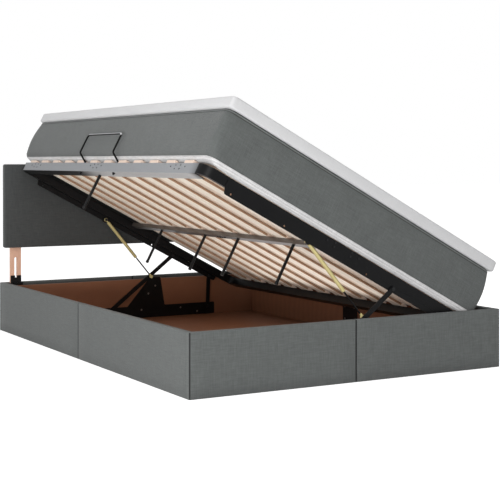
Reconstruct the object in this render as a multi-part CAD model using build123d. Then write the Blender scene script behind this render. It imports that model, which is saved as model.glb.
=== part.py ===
from build123d import *
import os
from math import atan2, cos, degrees, hypot, radians, sin

# Storage bed with a lift-up lid, in millimetres.
# Origin: centre of the box's footprint on the floor. +Z up, +Y towards the headboard,
# +X towards the hinged long side. The lid stands raised, as it does when the box is in use.
# Lid pieces are drawn in the lid's own frame: s runs across the lid towards the hinged side,
# n stands square to the lid, and y is shared with the box.

# Clearances and overruns
OVERRUN = 6.0
FIT = 0.3
RUNNING_FIT = 0.05

# Box
BOX_WIDTH = 1440.0
BOX_LENGTH = 2110.0
BOX_HEIGHT = 240.0
PANEL_THICKNESS = 25.0
FABRIC = 1.5
FLAP_DEPTH = 20.0
SEAM_GAP = 1.0
FLOOR_TOP = 22.0
FLOOR_BOARD = 5.0
JOIST_WIDTH = 60.0
LEDGER_WIDTH = 20.0
HEAD_BAY_DEPTH = 70.0
INNER_BOARD_THICKNESS = 16.0
INNER_BOARD_DROP = 12.0
INNER_BOARD_SIDE_GAP = 0.5

# Sheet metal fittings in the box
SHEET = 3.0
SEAM_PLATE_LENGTH = 120.0
SEAM_PLATE_HEIGHT = 100.0
SEAM_PLATE_BOTTOM = 60.0
SEAM_PLATE_CORNER = 8.0
CORNER_LONG_LEG = 40.0
CORNER_SHORT_LEG = 14.0
CORNER_BOTTOM = 30.0
CORNER_HEIGHT = 120.0
SCREW_RADIUS = 2.5
SCREW_DEPTH = 15.0
SCREW_HEAD_RADIUS = 5.0
SCREW_HEAD_HEIGHT = 2.0
LOW_HEAD_HEIGHT = 0.7
SCREW_MARGIN = 20.0

# Lid placing: tilt when raised, shift from the lid's frame when shut, and the mattress's rest above the rim
LID_TILT = 27.9
LID_SHIFT_WIDTH = 270.0
LID_REST_GAP = 2.0

# Lid frame of rectangular tube
FRAME_SIDE_GAP = 10.0
FRAME_CORNER = 50.0
RAIL_WIDTH = 20.0
RAIL_HEIGHT = 40.0
RAIL_WALL = 2.0
RAIL_TOP = 450.0
FLANGE_WIDTH = 46.0
BEAM_WIDTH = 30.0
BEAM_HEIGHT = 20.0
BEAM_WALL = 1.5
HOLE_RADIUS = 3.5
HOLE_GROUP_SHARES = (-0.391, 0.016, 0.396)
HOLE_OUTER_REACH = 60.0
HOLE_INNER_REACH = 20.0
HOLE_MID_DROP = 14.0
HOLE_HIGH_DROP = 8.0
HOLE_LOW_DROP = 24.0

# Slats
SLATS_PER_ROW = 12
SLAT_END_INSET = 138.5
SLAT_WIDTH = 69.0
SLAT_THICKNESS = 10.0
SLAT_EDGE = 3.0
HOLDER_WALL = 2.0
HOLDER_DEPTH = 30.0
CENTRE_HOLDER_DEPTH = 17.0

# Support legs under the lid
LEG_RADIUS = 6.5
TIP_RADIUS = 7.5
TIP_HEIGHT = 12.0
TIP_EDGE = 3.0
CENTRE_LEG_BOTTOM = 250.0
INNER_LEG_REACH = 157.0
OUTER_LEG_REACH = 622.0
RAIL_LEG_BOTTOM = 244.0
RAIL_LEG_INSET = 36.0
RAIL_LEG_Y = -8.0
BEAM_BOLT_RADIUS = 5.0
BEAM_BOLT_HEIGHT = 4.0
BEAM_BOLT_PITCH = 22.0
BEAM_BOLTS = 4

# Bent rod that keeps the mattress from sliding, and its nuts
HANDLE_RADIUS = 4.0
HANDLE_CENTRE_Y = -30.0
HANDLE_SPAN = 364.0
HANDLE_POST_INSET = 9.0
HANDLE_REACH = 45.0
HANDLE_SHOULDER_LOW = 454.3
HANDLE_SHOULDER_HIGH = 481.9
HANDLE_TOP = 570.0
HANDLE_BEND = 12.0
HANDLE_FOOT_BEND = 6.0
HANDLE_THREAD = 10.0
HANDLE_NUT_RADIUS = 6.5
HANDLE_NUT_HEIGHT = 6.0

# Pressed end plates that carry the lift mechanism
END_PLATE_TOP = 447.0
END_PLATE_BOTTOM = 385.0
END_PLATE_LEFT_INSET = 110.0
END_PLATE_RIGHT_MARGIN = 38.3
END_PLATE_STEP = 8.0
END_PLATE_CORNER = 10.0
LUG_RADIUS = 15.0
PLATE_HOLE_RADIUS = 4.0
PLATE_HOLE_RISE = 11.0
PLATE_HOLE_SHARES = (0.030, 0.257, 0.628)
RIDGE_START = -50.0
RIDGE_LENGTH = 320.0
RIDGE_LOW = 409.0
RIDGE_WIDTH = 6.0
RIDGE_HEIGHT = 1.0
PLATE_BOLT_RADIUS = 4.0
PLATE_BOLT_HEIGHT = 2.4
PLATE_BOLT_OUTER_REACH = 83.0
PLATE_BOLT_INNER_REACH = 43.0

# Lift mechanism: pivots in the lid's frame, pivot heights in the box and layers off the wall
LONG_PIVOT_S = 13.4
LONG_PIVOT_N = 398.8
SHORT_PIVOT_S = 261.7
SHORT_PIVOT_N = 397.9
LONG_BASE_HEIGHT = 39.9
SHORT_BASE_HEIGHT = 66.0
STRUT_PIVOT_S = -427.0
STRUT_PIVOT_N = 394.0
STRUT_ALONG_LINK = 332.0
STRUT_OFF_LINK = -2.0
LINK_LAYER = 4.0
LINK_THICKNESS = 5.0
LINK_WIDTH = 20.0
LINK_LUG_RADIUS = 12.0
PLATE_LAYER = 12.0
STRUT_LAYER = 27.0
PIN_RADIUS = 5.0
PIN_HEAD_RADIUS = 8.0
PIN_HEAD_HEIGHT = 2.5
PIN_NUT_HEIGHT = 4.0

# Stamped bases that carry the mechanism in the box
BASE_LEFT = -240.0
BASE_RIGHT = 455.0
BASE_BOTTOM = 24.0
BASE_BAR_TOP = 86.0
BASE_UPRIGHT_LEFT = -60.0
BASE_UPRIGHT_RIGHT = 155.0
BASE_UPRIGHT_DROP = 4.0
BASE_TOP_LEFT = 70.0
BASE_TOP_RIGHT = 130.0
BASE_CORNER = 8.0
BASE_SCREWS = ((-150.0, 66.0), (20.0, 66.0), (250.0, 66.0), (350.0, 40.0), (60.0, 150.0), (100.0, 190.0))

# Gas struts
STRUT_TUBE_RADIUS = 8.0
STRUT_TUBE_WALL = 2.0
STRUT_TUBE_START = 20.0
STRUT_TUBE_END = 262.0
STRUT_END_WALL = 8.0
STRUT_NECK_RADIUS = 3.8
STRUT_EYE_RADIUS = 9.0
STRUT_EYE_THICKNESS = 8.0
STRUT_STUD_RADIUS = 4.0
ROD_RADIUS = 3.5
ROD_LENGTH = 232.0
PISTON_LENGTH = 8.0
ROD_EYE_RADIUS = 8.0
ROD_SLEEVE_RADIUS = 6.0
ROD_SLEEVE_LENGTH = 14.0
ROD_BOSS_LENGTH = 4.6
LINK_STUD_LENGTH = 8.6
STUD_SPACER_RADIUS = 7.5

# Mattress and topper
MATTRESS_SIDE_OVERHANG = 24.0
MATTRESS_END_OVERHANG = 14.0
MATTRESS_HEIGHT = 212.0
MATTRESS_CORNER = 24.0
MATTRESS_LOWER_EDGE = 42.0
MATTRESS_UPPER_EDGE = 10.0
MATTRESS_TUCK = 5.0
MATTRESS_BELLY_RISE = 110.0
MATTRESS_DRAW_IN = 8.0
BEDDING_GAP = 0.3
BEDDING_SLIP = 6.0
TOPPER_END_REACH = 4.0
TOPPER_HEIGHT = 47.5
TOPPER_CORNER = 14.0
TOPPER_EDGE = 8.0
TOPPER_CROWN = 4.0
TOPPER_CROWN_INSET = 90.0
EDGE_STEPS = 4

# Headboard on its two slotted legs
HEADBOARD_THICKNESS = 44.0
HEADBOARD_RISE = 177.0
HEADBOARD_HEIGHT = 419.0
HEADBOARD_EDGE = 8.0
BOARD_LEG_WIDTH = 55.0
BOARD_LEG_THICKNESS = 16.0
BOARD_LEG_DEPTH = 110.0
BOARD_LEG_RISE = 450.0
BOARD_LEG_INSET = 70.0
BOARD_LEG_WALL_GAP = 1.0
SLOT_WIDTH = 15.0
SLOT_DEPTH = 25.0
SLOT_RISE = 127.0
CLAMP_SIDE_GAP = 0.7
CLAMP_FRONT_GAP = 0.5
CLAMP_WING = 12.0
CLAMP_HEIGHT = 62.0
CLAMP_RIM_GAP = 2.0
CLAMP_TAB_RISE = 35.0
CLAMP_NOTCH_WIDTH = 10.0
CLAMP_NOTCH_DEPTH = 6.0
CLAMP_BOLT_DROP = 14.5
CLAMP_BOLT_RADIUS = 4.0
CLAMP_BOLT_DEPTH = 12.0
KNOB_RADIUS = 12.0
KNOB_HEIGHT = 10.0
KNOB_LOBES = 6
KNOB_LOBE_RADIUS = 3.5

# Places that several pieces share
HALF_WIDTH = BOX_WIDTH / 2
HALF_LENGTH = BOX_LENGTH / 2
INNER_X = HALF_WIDTH - PANEL_THICKNESS
INNER_Y = HALF_LENGTH - PANEL_THICKNESS
BOARD_X = INNER_X + FABRIC
BOARD_Y = INNER_Y + FABRIC
BOARD_LEG_X = HALF_WIDTH - BOARD_LEG_INSET
INNER_BOARD_FRONT = INNER_Y - HEAD_BAY_DEPTH
LID_CENTRE_S = -LID_SHIFT_WIDTH
LID_CENTRE_Y = -HEAD_BAY_DEPTH / 2
FRAME_WIDTH = 2 * (INNER_X - FRAME_SIDE_GAP)
FRAME_LENGTH = 2 * (INNER_Y + LID_CENTRE_Y - PLATE_LAYER - SHEET)
RAIL_BOTTOM = RAIL_TOP - RAIL_HEIGHT
FRAME_LEFT = LID_CENTRE_S - FRAME_WIDTH / 2
FRAME_RIGHT = LID_CENTRE_S + FRAME_WIDTH / 2
FRAME_FOOT = LID_CENTRE_Y - FRAME_LENGTH / 2
FRAME_HEAD = LID_CENTRE_Y + FRAME_LENGTH / 2
FLANGE_BOTTOM = RAIL_BOTTOM - RAIL_WALL
HOLDER_TOP = RAIL_TOP + SLAT_THICKNESS + HOLDER_WALL
END_PLATE_LEFT = FRAME_LEFT + END_PLATE_LEFT_INSET
END_PLATE_RIGHT = SHORT_PIVOT_S + END_PLATE_RIGHT_MARGIN
MATTRESS_WIDTH = FRAME_WIDTH + 2 * MATTRESS_SIDE_OVERHANG
MATTRESS_LENGTH = FRAME_LENGTH + 2 * MATTRESS_END_OVERHANG
MATTRESS_BOTTOM = HOLDER_TOP + BEDDING_GAP
MATTRESS_TOP = MATTRESS_BOTTOM + MATTRESS_HEIGHT
LID_DROP_HEIGHT = MATTRESS_BOTTOM - BOX_HEIGHT - LID_REST_GAP
TOPPER_BOTTOM = MATTRESS_TOP + BEDDING_GAP
FOOT_WALL = -INNER_Y
LEG_BACK = INNER_Y - BOARD_LEG_WALL_GAP
LEG_FRONT = LEG_BACK - BOARD_LEG_THICKNESS
CLAMP_BACK = LEG_FRONT - CLAMP_FRONT_GAP
CLAMP_FRONT = CLAMP_BACK - SHEET
CLAMP_BOTTOM = BOX_HEIGHT - CLAMP_HEIGHT
CLAMP_TAB_TOP = BOX_HEIGHT + CLAMP_TAB_RISE
CLAMP_BOLT_HEIGHT = BOX_HEIGHT - CLAMP_BOLT_DROP
SLOT_BOTTOM = BOX_HEIGHT - SLOT_DEPTH
SLOT_TOP = BOX_HEIGHT + SLOT_RISE
BOARD_LEG_BOTTOM = BOX_HEIGHT - BOARD_LEG_DEPTH
BOARD_LEG_TOP = BOX_HEIGHT + BOARD_LEG_RISE
HEADBOARD_BOTTOM = BOX_HEIGHT + HEADBOARD_RISE
HEADBOARD_TOP = HEADBOARD_BOTTOM + HEADBOARD_HEIGHT
INNER_BOARD_TOP = BOX_HEIGHT - INNER_BOARD_DROP
BASE_UPRIGHT_TOP = BOX_HEIGHT - BASE_UPRIGHT_DROP


# Basic shapes

def block(x0, x1, y0, y1, z0, z1):
    """Rectangular block between two corners."""
    return Pos((x0 + x1) / 2, (y0 + y1) / 2, (z0 + z1) / 2) * Box(x1 - x0, y1 - y0, z1 - z0)


def bar(start, end, radius):
    """Round bar from one point to another."""
    first = Vector(*start)
    run = Vector(*end) - first
    seat = Plane(origin=first, z_dir=run)
    return seat * Cylinder(radius, run.length, align=(Align.CENTER, Align.CENTER, Align.MIN))


def sheet(outline, y0, y1):
    """Sheet cut to an outline drawn in X and Z, from y0 to y1."""
    face_plane = Plane(origin=(0, y1, 0), x_dir=(1, 0, 0), z_dir=(0, -1, 0))
    return extrude(face_plane * outline, amount=y1 - y0)


def dot(place, radius):
    """Disc drawn at a place in the XZ plane."""
    return Pos(place[0], place[1]) * Circle(radius)


def raised(solid):
    """Turn a piece from the lid's frame to the raised lid."""
    return Rot(0, LID_TILT, 0) * solid


def raised_place(s, n):
    """X and Z of a point of the raised lid."""
    tilt = radians(LID_TILT)
    return (s * cos(tilt) + n * sin(tilt), n * cos(tilt) - s * sin(tilt))


def shut_place(s, n):
    """X and Z of a point of the shut lid."""
    return (s + LID_SHIFT_WIDTH, n - LID_DROP_HEIGHT)


def base_pivot(s, n, height):
    """Pivot in the box that lies as far from the lid's pivot raised as shut."""
    up = raised_place(s, n)
    down = shut_place(s, n)
    slope = (up[1] - down[1]) / (up[0] - down[0])
    middle = ((up[0] + down[0]) / 2, (up[1] + down[1]) / 2)
    return (middle[0] - (height - middle[1]) * slope, height)


def beside(start, end, along, off):
    """Point that lies along a line from start to end, and off to its left."""
    length = hypot(end[0] - start[0], end[1] - start[1])
    ux = (end[0] - start[0]) / length
    uz = (end[1] - start[1]) / length
    return (start[0] + ux * along - uz * off, start[1] + uz * along + ux * off)


def at_head(solid):
    """Mirror a foot-end piece to the head end of the lid."""
    return mirror(solid, about=Plane(origin=(0, LID_CENTRE_Y, 0), z_dir=(0, 1, 0)))


def layer(offset):
    """Y of a layer of the foot-end mechanism, counted from the wall."""
    return FOOT_WALL + offset


def save(name, *solids):
    """Write the solids of one node."""
    shape = solids[0] if len(solids) == 1 else Compound(children=list(solids))
    export_step(shape, f"parts/{name}.step")


# Pivot places of the raised lid
LONG_TOP = raised_place(LONG_PIVOT_S, LONG_PIVOT_N)
SHORT_TOP = raised_place(SHORT_PIVOT_S, SHORT_PIVOT_N)
STRUT_TOP = raised_place(STRUT_PIVOT_S, STRUT_PIVOT_N)
LONG_BASE = base_pivot(LONG_PIVOT_S, LONG_PIVOT_N, LONG_BASE_HEIGHT)
SHORT_BASE = base_pivot(SHORT_PIVOT_S, SHORT_PIVOT_N, SHORT_BASE_HEIGHT)
STRUT_FOOT = beside(LONG_BASE, LONG_TOP, STRUT_ALONG_LINK, STRUT_OFF_LINK)


# Box fittings and their screws

def screw_at(place, outward, head_height=SCREW_HEAD_HEIGHT):
    """Flat-headed screw through a sheet, with its head on the sheet's face."""
    spot = Vector(*place)
    way = Vector(*outward)
    head = bar(tuple(spot), tuple(spot + way * head_height), SCREW_HEAD_RADIUS)
    shank = bar(tuple(spot), tuple(spot - way * SCREW_DEPTH), SCREW_RADIUS)
    return head + shank


def screw_hole(place, outward):
    """Hole that a screw passes, in a sheet or a board."""
    spot = Vector(*place)
    way = Vector(*outward)
    depth = SCREW_DEPTH + RUNNING_FIT
    return bar(tuple(spot + way * OVERRUN), tuple(spot - way * depth), SCREW_RADIUS + RUNNING_FIT)


def seam_plate_screws(side):
    """Screw places of the joining plate on one long side."""
    reach = SEAM_PLATE_LENGTH / 2 - SCREW_MARGIN
    low = SEAM_PLATE_BOTTOM + SCREW_MARGIN
    high = SEAM_PLATE_BOTTOM + SEAM_PLATE_HEIGHT - SCREW_MARGIN
    face = side * (BOARD_X - SHEET)
    return [((face, y, z), (-side, 0, 0)) for y in (-reach, reach) for z in (low, high)]


def corner_screws(side, end):
    """Screw places of one corner angle, in its long leg."""
    y = end * (BOARD_Y - CORNER_LONG_LEG + SCREW_MARGIN / 2)
    face = side * (BOARD_X - SHEET)
    low = CORNER_BOTTOM + SCREW_MARGIN
    high = CORNER_BOTTOM + CORNER_HEIGHT - SCREW_MARGIN
    return [((face, y, z), (-side, 0, 0)) for z in (low, high)]


def base_screws(end):
    """Screw places of the stamped base at one end."""
    foot_face = layer(SHEET)
    head_face = 2 * LID_CENTRE_Y - foot_face
    face = foot_face if end < 0 else head_face
    return [((x, face, z), (0, -end, 0)) for x, z in BASE_SCREWS]


def clamp_screws(side):
    """Screw places of one headboard clamp, through its wings."""
    reach = BOARD_LEG_WIDTH / 2 + CLAMP_SIDE_GAP + SHEET + CLAMP_WING / 2
    height = CLAMP_BOTTOM + SCREW_MARGIN
    return [((side * BOARD_LEG_X + way * reach, INNER_Y - SHEET, height), (0, -1, 0)) for way in (-1, 1)]


def raised_head_screws():
    """Screws whose heads stand clear of the mechanism, as a place and the way that the head faces."""
    places = []
    for side in (-1, 1):
        places += seam_plate_screws(side)
        places += corner_screws(side, -1)
        places += corner_screws(side, 1)
        places += clamp_screws(side)
    return places


def drilled(solid, screws):
    """Cut the holes of the screws that reach a solid."""
    for place, outward in screws:
        solid -= screw_hole(place, outward)
    return solid


# Box panels

def side_half(side, end):
    """Board and cover of half a long side."""
    near = SEAM_GAP / 2
    y0, y1 = sorted((end * near, end * BOARD_Y))
    outer, inner = side * HALF_WIDTH, side * INNER_X
    x0, x1 = sorted((outer, inner))
    whole = block(x0, x1, y0, y1, 0, BOX_HEIGHT)
    bx0, bx1 = sorted((outer - side * FABRIC, inner + side * FABRIC))
    board = block(bx0, bx1, y0 + FABRIC, y1 - FABRIC, 0, BOX_HEIGHT - FABRIC)
    wx0, wx1 = sorted((inner + side * FABRIC, inner - side * OVERRUN))
    window = block(wx0, wx1, y0 - OVERRUN, y1 + OVERRUN, -OVERRUN, BOX_HEIGHT - FLAP_DEPTH)
    cover = whole - board - window
    return drilled(board, seam_plate_screws(side) + corner_screws(side, end)), cover


def end_half(side, end):
    """Board and cover of half a short side."""
    x0, x1 = sorted((side * SEAM_GAP / 2, side * HALF_WIDTH))
    y0, y1 = sorted((end * HALF_LENGTH, end * BOARD_Y))
    bx0, bx1 = x0 + FABRIC, x1 - FABRIC
    by0, by1 = sorted((end * (HALF_LENGTH - FABRIC), end * BOARD_Y))
    board = block(bx0, bx1, by0, by1, 0, BOX_HEIGHT - FABRIC)
    fx0, fx1 = sorted((side * SEAM_GAP / 2, side * INNER_X))
    fy0, fy1 = sorted((end * BOARD_Y, end * INNER_Y))
    flap = block(fx0, fx1, fy0, fy1, BOX_HEIGHT - FLAP_DEPTH, BOX_HEIGHT)
    cover = block(x0, x1, y0, y1, 0, BOX_HEIGHT) - board + flap
    holes = base_screws(-1) if end < 0 else clamp_screws(side)
    board = drilled(board, holes)
    cover = drilled(cover, holes)
    if end > 0:
        board -= clamp_bolt_hole(side)
        cover -= clamp_bolt_hole(side)
    return board, cover


def make_panels():
    """Eight upholstered panel halves, each a board and its cover."""
    side_names = {-1: "left", 1: "right"}
    end_names = {-1: "foot", 1: "head"}
    for side in (-1, 1):
        for end in (-1, 1):
            board, cover = side_half(side, end)
            save(f"side_board_{side_names[side]}_{end_names[end]}", board)
            save(f"side_cover_{side_names[side]}_{end_names[end]}", cover)
            board, cover = end_half(side, end)
            save(f"end_board_{end_names[end]}_{side_names[side]}", board)
            save(f"end_cover_{end_names[end]}_{side_names[side]}", cover)


# Box floor and inner pieces

def make_floor():
    """Floor boards on a centre joist and two side ledgers, and the inner board at the head."""
    under = FLOOR_TOP - FLOOR_BOARD
    save("floor_board_left", block(-BOARD_X, -SEAM_GAP / 2, -BOARD_Y, BOARD_Y, under, FLOOR_TOP))
    save("floor_board_right", block(SEAM_GAP / 2, BOARD_X, -BOARD_Y, BOARD_Y, under, FLOOR_TOP))
    save("centre_joist", block(-JOIST_WIDTH / 2, JOIST_WIDTH / 2, -BOARD_Y, BOARD_Y, 0, under))
    left = block(-BOARD_X, LEDGER_WIDTH - BOARD_X, -BOARD_Y, BOARD_Y, 0, under)
    right = block(BOARD_X - LEDGER_WIDTH, BOARD_X, -BOARD_Y, BOARD_Y, 0, under)
    save("floor_ledgers", left, right)
    reach = INNER_X - INNER_BOARD_SIDE_GAP
    back = INNER_BOARD_FRONT + INNER_BOARD_THICKNESS
    board = block(-reach, reach, INNER_BOARD_FRONT, back, FLOOR_TOP, INNER_BOARD_TOP)
    save("inner_head_board", drilled(board, base_screws(1)))


def make_seam_plates():
    """Joining plates inside the mid seams of the long sides."""
    plates = []
    for side in (-1, 1):
        x0, x1 = sorted((side * BOARD_X, side * (BOARD_X - SHEET)))
        reach = SEAM_PLATE_LENGTH / 2
        plate = block(x0, x1, -reach, reach, SEAM_PLATE_BOTTOM, SEAM_PLATE_BOTTOM + SEAM_PLATE_HEIGHT)
        plate = fillet(plate.edges().filter_by(Axis.X), SEAM_PLATE_CORNER)
        plates.append(drilled(plate, seam_plate_screws(side)))
    save("seam_plates", *plates)


def make_corner_angles():
    """Angles that join the panels in the four inner corners."""
    angles = []
    top = CORNER_BOTTOM + CORNER_HEIGHT
    for side in (-1, 1):
        for end in (-1, 1):
            x0, x1 = sorted((side * BOARD_X, side * (BOARD_X - CORNER_SHORT_LEG)))
            y0, y1 = sorted((end * BOARD_Y, end * (BOARD_Y - CORNER_LONG_LEG)))
            cx0, cx1 = sorted((side * (BOARD_X - SHEET), side * (BOARD_X - CORNER_SHORT_LEG - OVERRUN)))
            cy0, cy1 = sorted((end * (BOARD_Y - SHEET), end * (BOARD_Y - CORNER_LONG_LEG - OVERRUN)))
            angle = block(x0, x1, y0, y1, CORNER_BOTTOM, top)
            angle -= block(cx0, cx1, cy0, cy1, CORNER_BOTTOM - OVERRUN, top + OVERRUN)
            angles.append(drilled(angle, corner_screws(side, end)))
    save("corner_angles", *angles)


def base_outline():
    """Outline of the stamped base: a low bar with a tapered upright."""
    points = [
        (BASE_LEFT, BASE_BOTTOM),
        (BASE_RIGHT, BASE_BOTTOM),
        (BASE_RIGHT, BASE_BAR_TOP),
        (BASE_UPRIGHT_RIGHT, BASE_BAR_TOP),
        (BASE_TOP_RIGHT, BASE_UPRIGHT_TOP),
        (BASE_TOP_LEFT, BASE_UPRIGHT_TOP),
        (BASE_UPRIGHT_LEFT, BASE_BAR_TOP),
        (BASE_LEFT, BASE_BAR_TOP),
    ]
    face = make_face(Polyline(*points, close=True))
    return fillet(face.vertices(), BASE_CORNER)


def make_bases():
    """Stamped bases of the mechanism at the foot and the head end, and their pivot pins."""
    outline = base_outline()
    outline -= dot(LONG_BASE, PIN_RADIUS + RUNNING_FIT)
    outline -= dot(SHORT_BASE, PIN_RADIUS + RUNNING_FIT)
    plate = drilled(sheet(outline, layer(0), layer(SHEET)), base_screws(-1))
    save("base_bracket_foot", plate)
    save("base_bracket_head", at_head(plate))
    pins = []
    for place in (LONG_BASE, SHORT_BASE):
        shank_end = LINK_LAYER + LINK_THICKNESS + FIT
        pin = sheet(dot(place, PIN_RADIUS), layer(0), layer(shank_end))
        pin += sheet(dot(place, PIN_HEAD_RADIUS), layer(shank_end), layer(shank_end + PIN_HEAD_HEIGHT))
        pins += [pin, at_head(pin)]
    save("base_pivot_pins", *pins)


def make_screws():
    """All screws of the box fittings. Those behind the links have low heads."""
    screws = [screw_at(place, outward) for place, outward in raised_head_screws()]
    for end in (-1, 1):
        for place, outward in base_screws(end):
            screws.append(screw_at(place, outward, LOW_HEAD_HEIGHT))
    save("box_screws", *screws)


# Headboard and its clamps

def clamp_bolt_hole(side):
    """Hole for the clamp bolt of one side."""
    x = side * BOARD_LEG_X
    depth = INNER_Y + CLAMP_BOLT_DEPTH + RUNNING_FIT
    start = (x, CLAMP_FRONT - OVERRUN, CLAMP_BOLT_HEIGHT)
    return bar(start, (x, depth, CLAMP_BOLT_HEIGHT), CLAMP_BOLT_RADIUS + RUNNING_FIT)


def clamp(side):
    """Folded clamp round one headboard leg, with a notched tab above the rim."""
    x = side * BOARD_LEG_X
    inner = BOARD_LEG_WIDTH / 2 + CLAMP_SIDE_GAP
    outer = inner + SHEET
    top = BOX_HEIGHT - CLAMP_RIM_GAP
    channel = block(x - outer, x + outer, CLAMP_FRONT, INNER_Y, CLAMP_BOTTOM, top)
    low = CLAMP_BOTTOM - OVERRUN
    channel -= block(x - inner, x + inner, CLAMP_BACK, INNER_Y + OVERRUN, low, top + OVERRUN)
    wing = outer + CLAMP_WING
    for way in (-1, 1):
        x0, x1 = sorted((x + way * outer, x + way * wing))
        channel += block(x0, x1, INNER_Y - SHEET, INNER_Y, CLAMP_BOTTOM, top)
    tab = BOARD_LEG_WIDTH / 2
    channel += block(x - tab, x + tab, CLAMP_FRONT, CLAMP_BACK, top, CLAMP_TAB_TOP)
    notch = CLAMP_NOTCH_WIDTH / 2
    floor = CLAMP_TAB_TOP - CLAMP_NOTCH_DEPTH
    front, rear = CLAMP_FRONT - OVERRUN, CLAMP_BACK + OVERRUN
    channel -= block(x - notch, x + notch, front, rear, floor, CLAMP_TAB_TOP + OVERRUN)
    channel -= bar((x, front, floor), (x, rear, floor), notch)
    return drilled(channel - clamp_bolt_hole(side), clamp_screws(side))


def clamp_bolt(side):
    """Bolt through clamp and slot, with its lobed hand knob."""
    x = side * BOARD_LEG_X
    knob = sheet(dot((x, CLAMP_BOLT_HEIGHT), KNOB_RADIUS), CLAMP_FRONT - KNOB_HEIGHT, CLAMP_FRONT)
    for turn in range(KNOB_LOBES):
        angle = radians(360 * turn / KNOB_LOBES)
        spot = (x + KNOB_RADIUS * cos(angle), CLAMP_BOLT_HEIGHT + KNOB_RADIUS * sin(angle))
        knob += sheet(dot(spot, KNOB_LOBE_RADIUS), CLAMP_FRONT - KNOB_HEIGHT, CLAMP_FRONT)
    end = (x, INNER_Y + CLAMP_BOLT_DEPTH, CLAMP_BOLT_HEIGHT)
    return knob + bar((x, CLAMP_FRONT, CLAMP_BOLT_HEIGHT), end, CLAMP_BOLT_RADIUS)


def make_headboard():
    """Upholstered headboard, its slotted legs, and the clamps that hold them."""
    back = LEG_FRONT
    panel = block(-HALF_WIDTH, HALF_WIDTH, back - HEADBOARD_THICKNESS, back, HEADBOARD_BOTTOM, HEADBOARD_TOP)
    save("headboard_panel", fillet(panel.edges(), HEADBOARD_EDGE))
    legs = []
    for side in (-1, 1):
        x = side * BOARD_LEG_X
        half = BOARD_LEG_WIDTH / 2
        leg = block(x - half, x + half, LEG_FRONT, LEG_BACK, BOARD_LEG_BOTTOM, BOARD_LEG_TOP)
        middle = (SLOT_BOTTOM + SLOT_TOP) / 2
        slot = SlotOverall(SLOT_TOP - SLOT_BOTTOM, SLOT_WIDTH, rotation=90)
        leg -= sheet(Pos(x, middle) * slot, LEG_FRONT - OVERRUN, LEG_BACK + OVERRUN)
        legs.append(leg)
    save("headboard_legs", *legs)
    save("headboard_clamps", *[clamp(side) for side in (-1, 1)])
    save("clamp_bolts", *[clamp_bolt(side) for side in (-1, 1)])


# Lid frame

def frame_ring(inset, low, high):
    """Solid ring of the frame's tube, drawn in from its outside by an inset."""
    outer = RectangleRounded(FRAME_WIDTH - 2 * inset, FRAME_LENGTH - 2 * inset, FRAME_CORNER - inset)
    reach = RAIL_WIDTH - inset
    width = FRAME_WIDTH - 2 * reach
    length = FRAME_LENGTH - 2 * reach
    inner = RectangleRounded(width, length, FRAME_CORNER - reach)
    return Pos(LID_CENTRE_S, LID_CENTRE_Y, low) * extrude(outer - inner, amount=high - low)


def hole_group(s, centre_y):
    """Six punched holes in the outer wall of a side rail."""
    spots = [
        (-HOLE_OUTER_REACH, HOLE_MID_DROP),
        (HOLE_OUTER_REACH, HOLE_MID_DROP),
        (-HOLE_INNER_REACH, HOLE_HIGH_DROP),
        (HOLE_INNER_REACH, HOLE_HIGH_DROP),
        (-HOLE_INNER_REACH, HOLE_LOW_DROP),
        (HOLE_INNER_REACH, HOLE_LOW_DROP),
    ]
    holes = []
    for shift, drop in spots:
        start = (s - OVERRUN, centre_y + shift, RAIL_TOP - drop)
        holes.append(bar(start, (s + RAIL_WALL + FIT, centre_y + shift, RAIL_TOP - drop), HOLE_RADIUS))
    return holes


def handle_posts():
    """Y places of the two posts of the bent rod."""
    return (HANDLE_CENTRE_Y - HANDLE_SPAN / 2, HANDLE_CENTRE_Y + HANDLE_SPAN / 2)


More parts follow.
